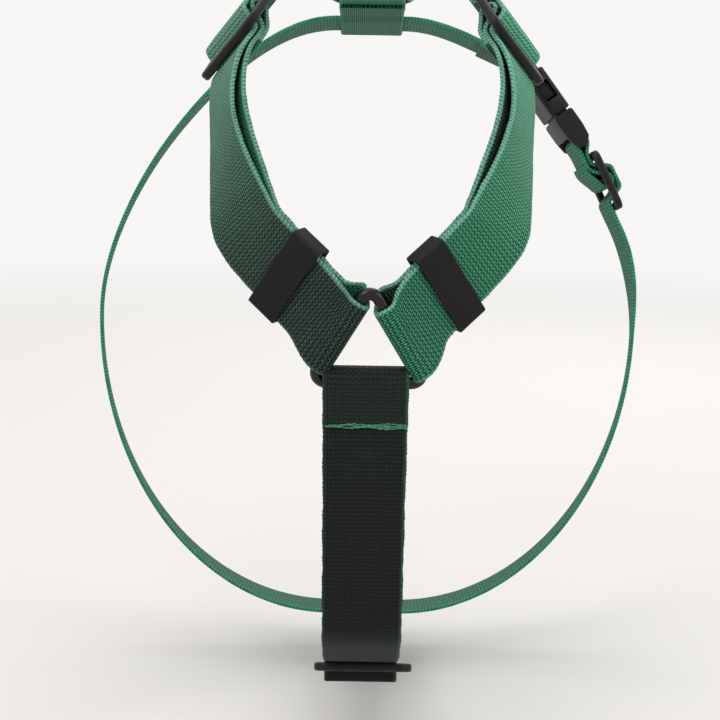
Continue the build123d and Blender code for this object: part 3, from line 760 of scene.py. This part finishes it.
class Nodes:
    """Short names for building a node tree."""

    def __init__(self, name):
        self.mat = bpy.data.materials.new(name)
        self.mat.use_nodes = True
        self.tree = self.mat.node_tree
        self.bsdf = self.tree.nodes["Principled BSDF"]

    def new(self, kind, **props):
        n = self.tree.nodes.new(kind)
        for key, value in props.items():
            setattr(n, key, value)
        return n

    def link(self, a, b):
        self.tree.links.new(a, b)

    def feed(self, socket, value):
        if isinstance(value, (int, float, list, tuple)):
            socket.default_value = value
        else:
            self.link(value, socket)

    def math(self, op, a, b=0.0):
        n = self.new("ShaderNodeMath", operation=op)
        self.feed(n.inputs[0], a)
        self.feed(n.inputs[1], b)
        return n.outputs[0]

    def add(self, a, b):
        return self.math("ADD", a, b)

    def sub(self, a, b):
        return self.math("SUBTRACT", a, b)

    def mul(self, a, b):
        return self.math("MULTIPLY", a, b)

    def div(self, a, b):
        return self.math("DIVIDE", a, b)

    def mix(self, k, a, b, blend="MIX"):
        n = self.new("ShaderNodeMix", data_type="RGBA", blend_type=blend)
        self.feed(n.inputs[0], k)
        self.feed(n.inputs[6], a)
        self.feed(n.inputs[7], b)
        return n.outputs[2]

    def ramp(self, fac, stops):
        n = self.new("ShaderNodeValToRGB")
        e = n.color_ramp.elements
        while len(e) < len(stops):
            e.new(1.0)
        for el, (at, colour) in zip(e, stops):
            el.position = at
            el.color = rgb(colour)
        self.link(fac, n.inputs[0])
        return n.outputs[0]

    def noise(self, vector, scale, detail=2.0, rough=0.5):
        n = self.new("ShaderNodeTexNoise")
        n.inputs["Scale"].default_value = scale
        n.inputs["Detail"].default_value = detail
        n.inputs["Roughness"].default_value = rough
        self.link(vector, n.inputs["Vector"])
        return n.outputs["Fac"]

    def step(self, value, lo, hi):
        n = self.new("ShaderNodeMapRange", interpolation_type="SMOOTHSTEP")
        self.feed(n.inputs[0], value)
        n.inputs[1].default_value = lo
        n.inputs[2].default_value = hi
        return n.outputs[0]

    def bump(self, height, distance, strength):
        n = self.new("ShaderNodeBump")
        n.inputs["Distance"].default_value = distance
        n.inputs["Strength"].default_value = strength
        self.link(height, n.inputs["Height"])
        return n.outputs[0]

    def set(self, **values):
        for key, value in values.items():
            self.feed(self.bsdf.inputs[key.replace("_", " ")], value)


def webbing(name, length, front, back, edge="3d8d6d", float_highlight="43876a", rims=(0.85, 0.6)):
    """Ribbed woven webbing: short staggered floats in rows, a print that changes along it, a
    painted highlight on the float tops and painted shade between them.
    """
    m = Nodes(name)
    web = m.new("ShaderNodeAttribute", attribute_name="web").outputs["Vector"]
    sep = m.new("ShaderNodeSeparateXYZ")
    m.link(web, sep.inputs[0])
    u, v, side = sep.outputs
    wob = m.noise(web, 0.25, 2.0)
    col = m.add(m.div(u, END), m.mul(wob, 0.25))
    cell = m.math("FLOOR", col)
    odd = m.math("FRACT", m.mul(cell, 0.5))
    across = m.math("SINE", m.mul(m.math("FRACT", col), pi))
    rows = m.add(m.div(v, PICK), m.mul(wob, 0.5))
    row = m.add(rows, m.mul(odd, 0.7))
    along = m.math("ABSOLUTE", m.math("SINE", m.mul(row, pi)))
    rib = m.math("ABSOLUTE", m.math("SINE", m.mul(rows, pi)))
    dash = m.mul(m.math("POWER", across, 0.9), m.math("POWER", along, 0.45))
    height = m.add(m.mul(dash, 0.75), m.mul(rib, 0.3))
    grid = m.new("ShaderNodeCombineXYZ")
    m.link(cell, grid.inputs[0])
    m.link(m.math("FLOOR", row), grid.inputs[1])
    white = m.new("ShaderNodeTexWhiteNoise", noise_dimensions="2D")
    m.link(grid.outputs[0], white.inputs["Vector"])
    soft = m.noise(web, 0.11, 3.0)
    fine = m.noise(web, 3.1, 2.0)
    place = m.add(m.div(v, length), m.mul(m.sub(soft, 0.5), 0.06))
    # float tops get a lighter copy of the print mixed with the float_highlight colour: painted
    # highlight on the raised floats, partly the yarn's own lighter colour
    lit = m.mul(m.step(height, 0.55, 1.0), m.add(0.65, m.mul(white.outputs["Value"], 0.35)))

    # print ramp along the strap, with the painted highlight laid on the float tops
    def printed(stops, gain, tint):
        base = m.ramp(place, stops)
        bright = m.mix(1.0, base, (gain, gain, gain, 1.0), "MULTIPLY")
        return m.mix(m.mul(lit, 0.75), base, m.mix(tint, bright, rgb(float_highlight)))

    body = m.mix(m.step(side, -0.25, 0.15), printed(back, 2.4, 0.3), printed(front, 3.0, 0.45))
    rim = m.step(m.math("ABSOLUTE", u), web_w / 2 - 1.3, web_w / 2 - 0.6)
    cord = m.math("SINE", m.mul(m.add(m.div(v, PICK), m.mul(side, 0.35)), 2 * pi))
    frayed = m.noise(web, 0.9, 3.0)
    edge_col = m.mix(m.step(m.add(m.mul(cord, 0.5), m.mul(frayed, 2.2)), 0.5, 1.6),
                     m.mix(0.4, body, rgb(edge)), rgb(edge))
    rim_amount = m.add(rims[0], m.mul(m.step(u, -2.0, 2.0), rims[1] - rims[0]))
    colour = m.mix(m.mul(rim, rim_amount), body, edge_col)
    # painted shade: the low crevices between floats are darkened towards near-black 030504, less
    # on the selvedge
    crevice_shade = m.mul(m.sub(1.0, m.step(height, 0.12, 0.78)), m.sub(1.0, m.mul(rim, 0.55)))
    m.link(m.mix(crevice_shade, colour, m.mix(0.85, colour, rgb("030504"))), m.bsdf.inputs["Base Color"])
    m.link(m.add(0.52, m.mul(fine, 0.2)), m.bsdf.inputs["Roughness"])
    m.set(Specular_IOR_Level=0.14, Sheen_Weight=0.03, Sheen_Roughness=0.4,
          Sheen_Tint=(0.75, 1.0, 0.88, 1.0))
    m.link(m.bump(m.add(height, m.mul(fine, 0.2)), 0.00026, 0.9), m.bsdf.inputs["Normal"])
    return m.mat


def coated(name, colour, rough, grain, grain_depth, wear_colour="5a5a5c", wear=0.35,
           dust=0.35, spec=0.5):
    """Black coating or moulding with a fine grain, dust and rubbed edges."""
    m = Nodes(name)
    co = m.new("ShaderNodeTexCoord").outputs["Object"]
    fine = m.noise(co, grain, 3.0, 0.6)
    broad = m.noise(co, 90.0, 3.0, 0.6)
    edge = m.new("ShaderNodeAttribute", attribute_name="wear").outputs["Fac"]
    rub = m.mul(m.step(m.mul(edge, m.add(broad, 0.45)), 0.45, 0.95), wear)
    base = m.mix(m.mul(broad, dust), rgb(colour), m.mix(0.5, rgb(colour), rgb("3a3836")))
    m.link(m.mix(rub, base, rgb(wear_colour)), m.bsdf.inputs["Base Color"])
    m.link(m.add(m.mul(broad, 0.14), rough - 0.05), m.bsdf.inputs["Roughness"])
    m.set(Specular_IOR_Level=spec)
    m.link(m.bump(fine, grain_depth, 0.6), m.bsdf.inputs["Normal"])
    return m.mat


def thread_material(name, colour, dark):
    """Shiny twisted thread."""
    m = Nodes(name)
    co = m.new("ShaderNodeTexCoord").outputs["Object"]
    n = m.noise(co, 2500.0, 2.0)
    broad = m.noise(co, 300.0, 1.0)
    m.link(m.mix(m.step(m.add(n, m.mul(broad, 0.6)), 0.6, 1.0), rgb(dark), rgb(colour)),
           m.bsdf.inputs["Base Color"])
    m.set(Roughness=0.55, Sheen_Weight=0.3, Sheen_Roughness=0.4)
    m.link(m.bump(n, 0.00008, 0.8), m.bsdf.inputs["Normal"])
    return m.mat


def paint(obj, mat):
    obj.data.materials.clear()
    obj.data.materials.append(mat)
    return obj


# ---- straps ----
def steps(mm):
    """Stations in a length of strap."""
    return int(round(mm / STEP))


def metres(p, mirrored=False):
    """A point in row metres, on the other side of the dog if mirrored."""
    return tuple(p * MM * (FLIP if mirrored else 1))


def point(plan, x, y, mirrored=False):
    return metres(plan.lift([(x, y)])[0], mirrored)


def cloth(mat, node, *objs):
    """Webbing look for the pieces of one strap."""
    for o in objs:
        paint(o, mat)
        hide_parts(node)


for side, mirrored in (("left", False), ("right", True)):
    route = shoulder_route(mirrored)
    total = route["s"][-1]
    e1 = stations(route, EYE)[1] - steps(side_in - cut_x)
    h0, h1 = stations(route, HUMP)
    h0 += steps(side_in - cut_x)
    h1 -= steps(side_out - cut_x)
    if side == "left":
        # left front print: near-black at the chest ring, green towards the withers; the lighter
        # grey-green stretch up the outer layer towards the slider is a painted sheen
        front = [(0.0, "2a5543"), (0.30, "16211d"), (0.42, "141c19"), (0.48, "1b2a23"),
                 (0.54, "233d32"), (0.64, "3d6b57"), (0.74, "57866f"), (1.0, "2f7a5a")]
        back_c = [(0.0, "1f6a4e"), (0.30, "0c4f35"), (0.5, "155a3e"), (1.0, "236f51")]
        mat = webbing("webbing_left", total, front, back_c, edge="6a9f8b", float_highlight="5f8474",
                      rims=(0.95, 0.25))
    else:
        front = [(0.0, "266a4e"), (0.30, "185a3f"), (0.42, "1b5f43"), (0.52, "226a4b"),
                 (0.66, "41896a"), (0.75, "4b9774"), (1.0, "2f7a5a")]
        # right back face: dark from the slider eye round the chest loop, a painted shade for the
        # shadowed inner face; green towards the withers
        back_c = [(0.0, "17302a"), (0.30, "10221b"), (0.5, "142a21"), (1.0, "236f51")]
        mat = webbing("webbing_right", total, front, back_c, edge="74ad99", float_highlight="76a891",
                      rims=(0.6, 0.95))
    seed = 1.3 if mirrored else 0.4
    lower = strip(f"{side}_shoulder_lower", route, e1, h0, seed)
    upper = strip(f"{side}_shoulder_upper", route, h1, stations(route, UPPER)[1], seed)
    middle = join(f"{side}_shoulder_middle",
                  [strip(f"{side}_shoulder_eye", route, 0, e1, seed),
                   strip(f"{side}_shoulder_hump", route, h0, h1, seed)])
    cloth(mat, f"{side}_shoulder_strap", lower, upper, middle)
    slider = f"{side}_slider"
    point(glide_plan, -cut_x, run_y, mirrored)
    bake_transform(lower)
    point(glide_plan, cut_x, run_y, mirrored)
    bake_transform(upper)
    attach(middle, slider)

route = girth_route()
total = route["s"][-1]
front = [(0.0, "26704f"), (0.10, "26704f"), (0.35, "185a3f"), (0.50, "16211d"),
         (0.62, "185a3f"), (0.85, "26704f"), (1.0, "1d4b38")]
back_c = [(0.0, "1f6a4e"), (0.5, "155a3e"), (1.0, "236f51")]
mat = webbing("webbing_girth", total, front, back_c)
b0 = stations(route, BAR)[0]
h0, h1 = stations(route, HUMP)
h1 -= steps(girth_out - cut_x)
n1 = h1 + steps(near_l)
m1 = n1 + steps(bend_l)
girth_middle = join("girth_middle", [strip("girth_eye", route, 0, b0, 2.2),
                                     strip("girth_hump", route, h0, h1, 2.2)])
girth_bar = strip("girth_bar_loop", route, b0, h0, 2.2)
girth_near = strip("girth_near", route, h1, n1, 2.2)
girth_bend = strip("girth_bend", route, n1, m1, 2.2)
girth_far = strip("girth_far", route, m1, stations(route, FAR)[1], 2.2)
cloth(mat, "girth_strap", girth_middle, girth_bar, girth_near, girth_bend, girth_far)
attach(girth_middle, "girth_slider")
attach(girth_far, "harness")
point(girth_glide_plan, -17.0, run_y)
point(girth_glide_plan, -9.5, run_y)
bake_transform(girth_bar)
point(girth_glide_plan, cut_x, run_y)
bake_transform(girth_near)
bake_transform(girth_bend)

route = chest_route()
total = route["s"][-1]
front = [(0.0, "1a2c24"), (0.07, "131c18"), (0.16, "101512"), (0.30, "0d0f0e"),
         (0.45, "0b0c0b"), (0.60, "0c0e0c"), (1.0, "131c18")]
back_c = [(0.0, "18241f"), (0.06, "141d19"), (0.10, "173026"), (0.25, "225a44"),
          (0.6, "27674e"), (1.0, "1f6a4e")]
mat = webbing("webbing_chest", total, front, back_c, edge="2f5446", float_highlight="262e2a",
              rims=(0.3, 0.8))
h0, h1 = stations(route, HUMP)
n1 = stations(route, NEAR)[1]
h0 += steps(chest_in - cut_x)
h1 -= steps(chest_out - cut_x)
chest_front = strip("chest_front", route, 0, h0, 3.1)
chest_middle = join("chest_middle", [strip("chest_hump", route, h0, h1, 3.1),
                                     strip("chest_eye", route, n1, len(route["s"]) - 1, 3.1)])
chest_rear = strip("chest_rear", route, h1, n1, 3.1)
cloth(mat, "chest_strap", chest_front, chest_middle, chest_rear)
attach(chest_middle, "chest_slider")
point(chest_glide_plan, cut_x, run_y)
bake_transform(chest_front)
point(chest_glide_plan, -74.0, run_y)
point(chest_glide_plan, -cut_x, run_y)
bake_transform(chest_rear)

route = back_route()
total = route["s"][-1]
front = [(0.0, "26704f"), (0.4, "26704f"), (0.7, "185a3f"), (1.0, "185a3f")]
mat = webbing("webbing_back", total, front, [(0.0, "1f6a4e"), (1.0, "236f51")])
back_strap = strip("back_band", route, 0, len(route["s"]) - 1, 4.4)
cloth(mat, "back_strap", back_strap)
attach(back_strap, "harness")
route = tab_route()
tab = strip("leash_tab", route, 0, len(route["s"]) - 1, 5.5, thick=tab_t)
cloth(mat, "leash_ring_tab", tab)
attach(tab, "harness")

# ---- rings, sliders, keepers ----
ring_coat = coated("ring_coating", "040404", 0.16, 1500.0, 0.00001, wear=0.06, dust=0.06,
                   spec=0.35)
slider_coat = coated("slider_coating", "0a0a0b", 0.42, 1800.0, 0.00003, wear=0.2, dust=0.2,
                     spec=0.22)
keeper_plastic = coated("keeper_plastic", "100e10", 0.6, 2200.0, 0.00003, wear=0.22,
                        wear_colour="363537", spec=0.14)
buckle_plastic = coated("buckle_plastic", "0e0e0f", 0.5, 1600.0, 0.00005, wear=0.2,
                        wear_colour="3c3c3e", spec=0.2)
tri = [(0, 2 * ring_in), (-ring_side / 2, -ring_in), (ring_side / 2, -ring_in)]


def dress(obj, mat, slot, body, *nodes):
    mark_edges(obj)
    paint(obj, mat)
    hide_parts(*nodes)
    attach(obj, body)


chest_ring_plan = Plan(chest_at, X, ring_up)
dress(wire("front_ring", chest_ring_plan.lift(closed_line(tri, ring_corner)), ring_r),
      ring_coat, "ring_metal", "harness", "chest_ring")
dress(wire("withers_wire", Plan(vec(0, 0, 0), X, vec(0, -1, 0)).lift(
    closed_line(tri, ring_corner)), ring_r), ring_coat, "ring_metal", "harness", "withers_ring")
leash_at = back_bar + girth_aft * tab_at + girth_up * leash_y
leash_dir = girth_aft * cos(radians(4)) + girth_up * sin(radians(4))
half, reach = 14.75, 7.0
bow = arc((0, reach), half, 0, 180, 60)
dee = np.concatenate([arc((half - 2.4, 2.4), 2.4, -90, 0, 14), bow,
                      arc((-half + 2.4, 2.4), 2.4, 180, 270, 14)])
dee = np.r_[dee, dee[:1]]
s = lengths(dee)
dee = at_lengths(np.linspace(0, s[-1], 200, endpoint=False), s, dee)
dress(wire("leash_dee", Plan(leash_at, X, leash_dir).lift(dee), leash_r), ring_coat, "ring_metal",
      "leash_ring", "leash_ring")


def mirror_plan(plan):
    return Plan(plan.o * FLIP, plan.x * FLIP, plan.y * FLIP)


def slider(name, plan, body, node):
    across = np.cross(plan.y, plan.x)
    flat = Plan(plan.o, plan.x, across)
    holes = [rect(0, 0, glide_l, glide_w, 4.0), rect(-slot_at, 0, slot_l, slot_w, 1.5),
             rect(slot_at, 0, slot_l, slot_w, 1.5)]
    dress(slab(name, flat, holes, glide_t, 0.9), slider_coat, "slider_metal", body, node)


slider("left_glide", glide_plan, "left_slider", "left_shoulder_slider")
slider("right_glide", mirror_plan(glide_plan), "right_slider", "right_shoulder_slider")
slider("chest_glide", tilted_plan, "chest_slider", "chest_strap_slider")
slider("girth_glide", girth_glide_plan, "girth_slider", "girth_slider")

keeper_skew = radians(-5.0)


def keeper(name, along, mirrored, body, node):
    across = pair_across * cos(keeper_skew) + pair_dir * sin(keeper_skew)
    plan = Plan(chest_bar + pair_dir * along, across, pair_face)
    if mirrored:
        plan = mirror_plan(plan)
    outer_w, outer_t = keeper_in_w + 2 * keeper_wall, keeper_in_t + 2 * keeper_wall
    loops = [rect(0, 0, outer_w, outer_t, 0.9),
             rect(0, 0, keeper_in_w + 0.9, keeper_in_t + 0.4, 0.4)]
    dress(slab(name, plan, loops, keeper_l, 0.35), keeper_plastic, "keeper_plastic", body, node)


keeper("left_loop", 23.0, False, "left_keeper", "left_shoulder_keeper")
keeper("right_loop", 20.5, True, "right_keeper", "right_shoulder_keeper")


# ---- buckle ----
buckle_w, buckle_t = 31.0, 8.4
female_l, male_l = 19.4, 9.6
rail_w, rail_t = 2.6, 4.4
arm_at = 10.3
buckle_across = np.cross(buckle_out, buckle_run)
buckle_plan = Plan(buckle_at, buckle_run, buckle_across)


def buckle_side(across_at):
    """Plane square to the buckle's width."""
    return Plan(buckle_at + buckle_across * across_at, buckle_run, buckle_out)


def bar(name, at):
    """Webbing bar between the two rails."""
    middle = buckle_at + buckle_run * at
    ends = [middle + buckle_across * k * (buckle_w / 2 - 1.2) for k in np.linspace(-1, 1, 9)]
    return wire(name, ends, web_bar_r, normal=buckle_run)


def tube(name):
    """Body of the female half: a flat tube with a window in each side for the latches."""
    middle = buckle_at - buckle_run * (0.4 + female_l / 2)
    plan = Plan(middle, buckle_out, np.cross(buckle_run, buckle_out))
    body = slab(name, plan, [rect(0, 0, buckle_t, buckle_w, 2.6), rect(0, 0, 5.2, 27.4, 0.8)],
                female_l - 0.4, 0.6, 4)
    window = slab("window", Plan(buckle_at, buckle_run, buckle_across),
                  [rect(-10.5, 0, 8.0, buckle_w + 4, 1.5)], 5.0, 0.3)
    cut = body.modifiers.new("window", "BOOLEAN")
    cut.operation = "DIFFERENCE"
    cut.solver = "EXACT"
    cut.object = window
    bpy.context.view_layer.update()
    mesh = bpy.data.meshes.new_from_object(body.evaluated_get(
        bpy.context.evaluated_depsgraph_get()))
    for o in (body, window):
        bpy.data.objects.remove(o)
    mesh.name = name
    return finish_mesh(name, mesh, angle=35)


rail_y = buckle_w / 2 - rail_w / 2
female_rails = [slab(f"rail{k}", buckle_side(k * rail_y), [rect(-22.8, 0, 8.6, rail_t, 1.9)],
                     rail_w, 0.5) for k in (-1, 1)]
back_wall = slab("back_wall", buckle_plan, [rect(-19.0, 0, 1.8, 28.6, 0.5)], 7.0, 0.4)
dress(join("female_half", [tube("female_body"), back_wall, *female_rails,
                           bar("female_bar", female_bar)]),
      buckle_plastic, "buckle_plastic", "harness", "buckle_female")

male_end = [(0.3, -buckle_t / 2), (8.4, -buckle_t / 2), (13.4, -3.6), (16.1, -1.4), (16.1, 1.4),
            (13.4, 3.6), (8.4, buckle_t / 2), (0.3, buckle_t / 2)]
male_rails = [slab(f"rail{k}", buckle_side(k * rail_y), [closed_line(male_end, 1.2)],
                   rail_w, 0.7) for k in (-1, 1)]
male_body = slab("male_body", buckle_side(0), [rect(male_l / 2 + 0.2, 0, male_l, buckle_t, 1.0)],
                 buckle_w - 2.0, 0.6)
collar = slab("collar", buckle_side(0), [rect(-0.4, 0, 2.2, 4.9, 0.5)], 26.8, 0.3)
tongue = slab("tongue", buckle_plan, [rect(-6.5, 0, 18.0, 4.6, 2.0)], 3.8, 0.6)
dress(join("male_half", [male_body, collar, *male_rails, tongue, bar("male_bar", male_bar)]),
      buckle_plastic, "buckle_plastic", "buckle_male", "buckle_male")

latch = [(-0.1, -arm_at - 0.9), (-0.1, -arm_at + 0.9), (-15.4, -arm_at + 0.9),
         (-16.2, -arm_at - 0.4), (-14.0, -13.2), (-7.5, -13.2), (-6.3, -arm_at - 0.9)]
for side, k in (("front", 1), ("rear", -1)):
    outline = closed_line([(x, y * k) for x, y in latch[::k]], 0.4)
    dress(slab(f"{side}_latch", buckle_plan, [outline], 4.4, 0.5), buckle_plastic,
          "buckle_plastic", f"latch_{side}", f"buckle_latch_{side}")

# ---- sewing ----
green_thread = thread_material("thread_green", "3f8f70", "1c5740")


def stitch_rows(name, rows, r=0.27, length=2.6, gap=0.35, seed=0.0, rise=0.22, jog=0.12):
    """Stitches along the rows, each a short thread that dips into the webbing at its ends.
    A row is (points, direction away from the webbing)."""
    verts, faces = [], []
    sides, rings = 8, 9
    for row, (line, up) in enumerate(rows):
        line = np.array(line, float)
        s = lengths(line)
        count = max(1, int(round(s[-1] / (length + gap))))
        pitch = s[-1] / count
        for q in range(count):
            off = jog * sin(7.3 * q + 3.1 * row + seed)
            t = q * pitch + np.linspace(gap / 2, pitch - gap / 2 + 0.25 * off, rings)
            p = at_lengths(t, s, line)
            d = unit(p[-1] - p[0])
            side = np.cross(d, up)
            bow = np.sin(np.linspace(0, pi, rings))
            p = p + up * (rise * bow[:, None] - 0.12) + side * (off * bow[:, None])
            base = len(verts)
            for k in range(rings):
                rr = r * (0.55 + 0.45 * bow[k])
                for j in range(sides):
                    a = 2 * pi * j / sides
                    verts.append(tuple((p[k] + rr * (cos(a) * side + sin(a) * up)) * MM))
            faces += tube_faces(rings, sides, base)
    mesh = bpy.data.meshes.new(name)
    mesh.from_pydata(verts, [], faces)
    return finish_mesh(name, mesh)


def sew(name, rows, node, **k):
    o = paint(stitch_rows(name, rows, **k), green_thread)
    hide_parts(node)
    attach(o, "harness")


def box_rows(o, x, y, cx, w, h):
    """A sewn box with a cross in it, on the plane with axes x and y."""
    c = [o + x * (cx + sx * w / 2) + y * (sy * h / 2)
         for sx, sy in ((-1, -1), (1, -1), (1, 1), (-1, 1))]
    up = unit(np.cross(x, y))
    return [([c[i], c[j]], up) for i, j in ((0, 1), (1, 2), (2, 3), (3, 0), (0, 2), (1, 3))]


sewn_top = sewn + web_t / 2 + 0.05
flap_edge = hang_plan.lift([(flap_l - 0.35, flap_y + web_t / 2)])[0]
flap_rows = []
for drop, left, right, tilt in ((0.0, 12.9, 11.9, 0.0), (0.55, 12.6, 11.4, -0.25),
                                (-0.45, 11.6, 12.0, 0.2), (0.25, 12.7, 11.7, 0.35)):
    flap_rows.append(([flap_edge - X * left + hang_run * (drop + tilt),
                       flap_edge + X * right + hang_run * (drop - tilt)], hang_face))
sew("flap_edge_stitching", flap_rows, "chest_strap_stitching", r=0.21, length=2.2, gap=-0.5,
    seed=1.0, jog=0.28)
for side, mirrored in (("left", False), ("right", True)):
    rows = []
    for x in (10.0, 12.6):
        a = withers_plan.lift([(x, sewn_top)])[0] + withers_across * (x * withers_slope - 10.5)
        b = a + withers_across * 21.0
        if mirrored:
            a, b = a * FLIP, b * FLIP
        rows.append(([a, b], Z))
    sew(f"{side}_withers_thread", rows, f"{side}_withers_stitching", r=0.25, seed=2.0)
for name, node, plan, x, w in (("back_thread", "back_strap_stitching", back_plan, 16.5, 11.3),
                               ("girth_thread", "girth_strap_stitching", sewn_plan, 16.0, 8.3)):
    sew(name, box_rows(plan.o + plan.y * sewn_top, plan.x, np.cross(plan.y, plan.x), x, w, 19.3),
        node, r=0.25)

# ---- camera, floor, light ----
cam = bpy.data.objects.new("camera", bpy.data.cameras.new("camera"))
scene.collection.objects.link(cam)
scene.camera = cam
cam.data.lens = 77.4
cam.data.sensor_width = 36.0
cam.data.clip_start = 0.02
cam.data.clip_end = 50.0
roll = radians(0.9)
tilt = radians(10.0)
ahead = Vector((0, cos(tilt), -sin(tilt)))
right = Vector((cos(roll), 0, 0)) + Vector((0, sin(tilt), cos(tilt))) * sin(roll)
up = right.cross(ahead)
rot = Matrix((right, up, -ahead)).transposed()
cam.matrix_world = Matrix.Translation(Vector((-0.00262, -0.5577, -0.0367))) @ rot.to_4x4()

floor_mesh = bpy.data.meshes.new("floor")
floor_z = cad_box[0][2] - 0.015
floor_r, floor_n = 6, 64
fade_from, fade_to = 0.55, 1.6  # the floor melts into the background between these distances
turns = [2 * pi * i / floor_n for i in range(floor_n)]
floor_mesh.from_pydata([(floor_r * cos(a), floor_r * sin(a), floor_z) for a in turns], [],
                       [tuple(range(floor_n))])
floor = bpy.data.objects.new("floor", floor_mesh)
scene.collection.objects.link(floor)
fm = Nodes("floor")
far = fm.new("ShaderNodeVectorMath", operation="LENGTH")
fm.link(fm.new("ShaderNodeTexCoord").outputs["Object"], far.inputs[0])
fm.link(fm.sub(1.0, fm.step(far.outputs["Value"], fade_from, fade_to)),
        fm.bsdf.inputs["Alpha"])
fm.set(Base_Color=rgb("d4d2d0"), Roughness=0.9, Specular_IOR_Level=0.1)
paint(floor, fm.mat)

world = bpy.data.worlds.new("studio")
scene.world = world
world.use_nodes = True
world.node_tree.nodes["Background"].inputs[0].default_value = (1.0, 0.985, 0.97, 1)
world.node_tree.nodes["Background"].inputs[1].default_value = 0.94


def area(name, at, aim, size, power, colour=(1, 1, 1)):
    light = bpy.data.lights.new(name, "AREA")
    light.shape = "RECTANGLE"
    light.size, light.size_y = size
    light.energy = power
    light.color = colour
    o = bpy.data.objects.new(name, light)
    o.location = at
    o.rotation_euler = (Vector(aim) - Vector(at)).to_track_quat("-Z", "Y").to_euler()
    scene.collection.objects.link(o)


centre = (0.0, -0.04, -0.12)
area("key", (-0.55, -0.75, 0.75), centre, (0.6, 0.6), 4.5, (1.0, 0.985, 0.96))
area("fill", (0.85, -0.6, 0.35), centre, (0.7, 0.7), 2.5, (0.97, 0.985, 1.0))
area("top", (0.0, 0.25, 0.95), centre, (0.9, 0.6), 3.0)
area("back", (0.3, 0.95, 0.4), centre, (0.7, 0.5), 2.5)
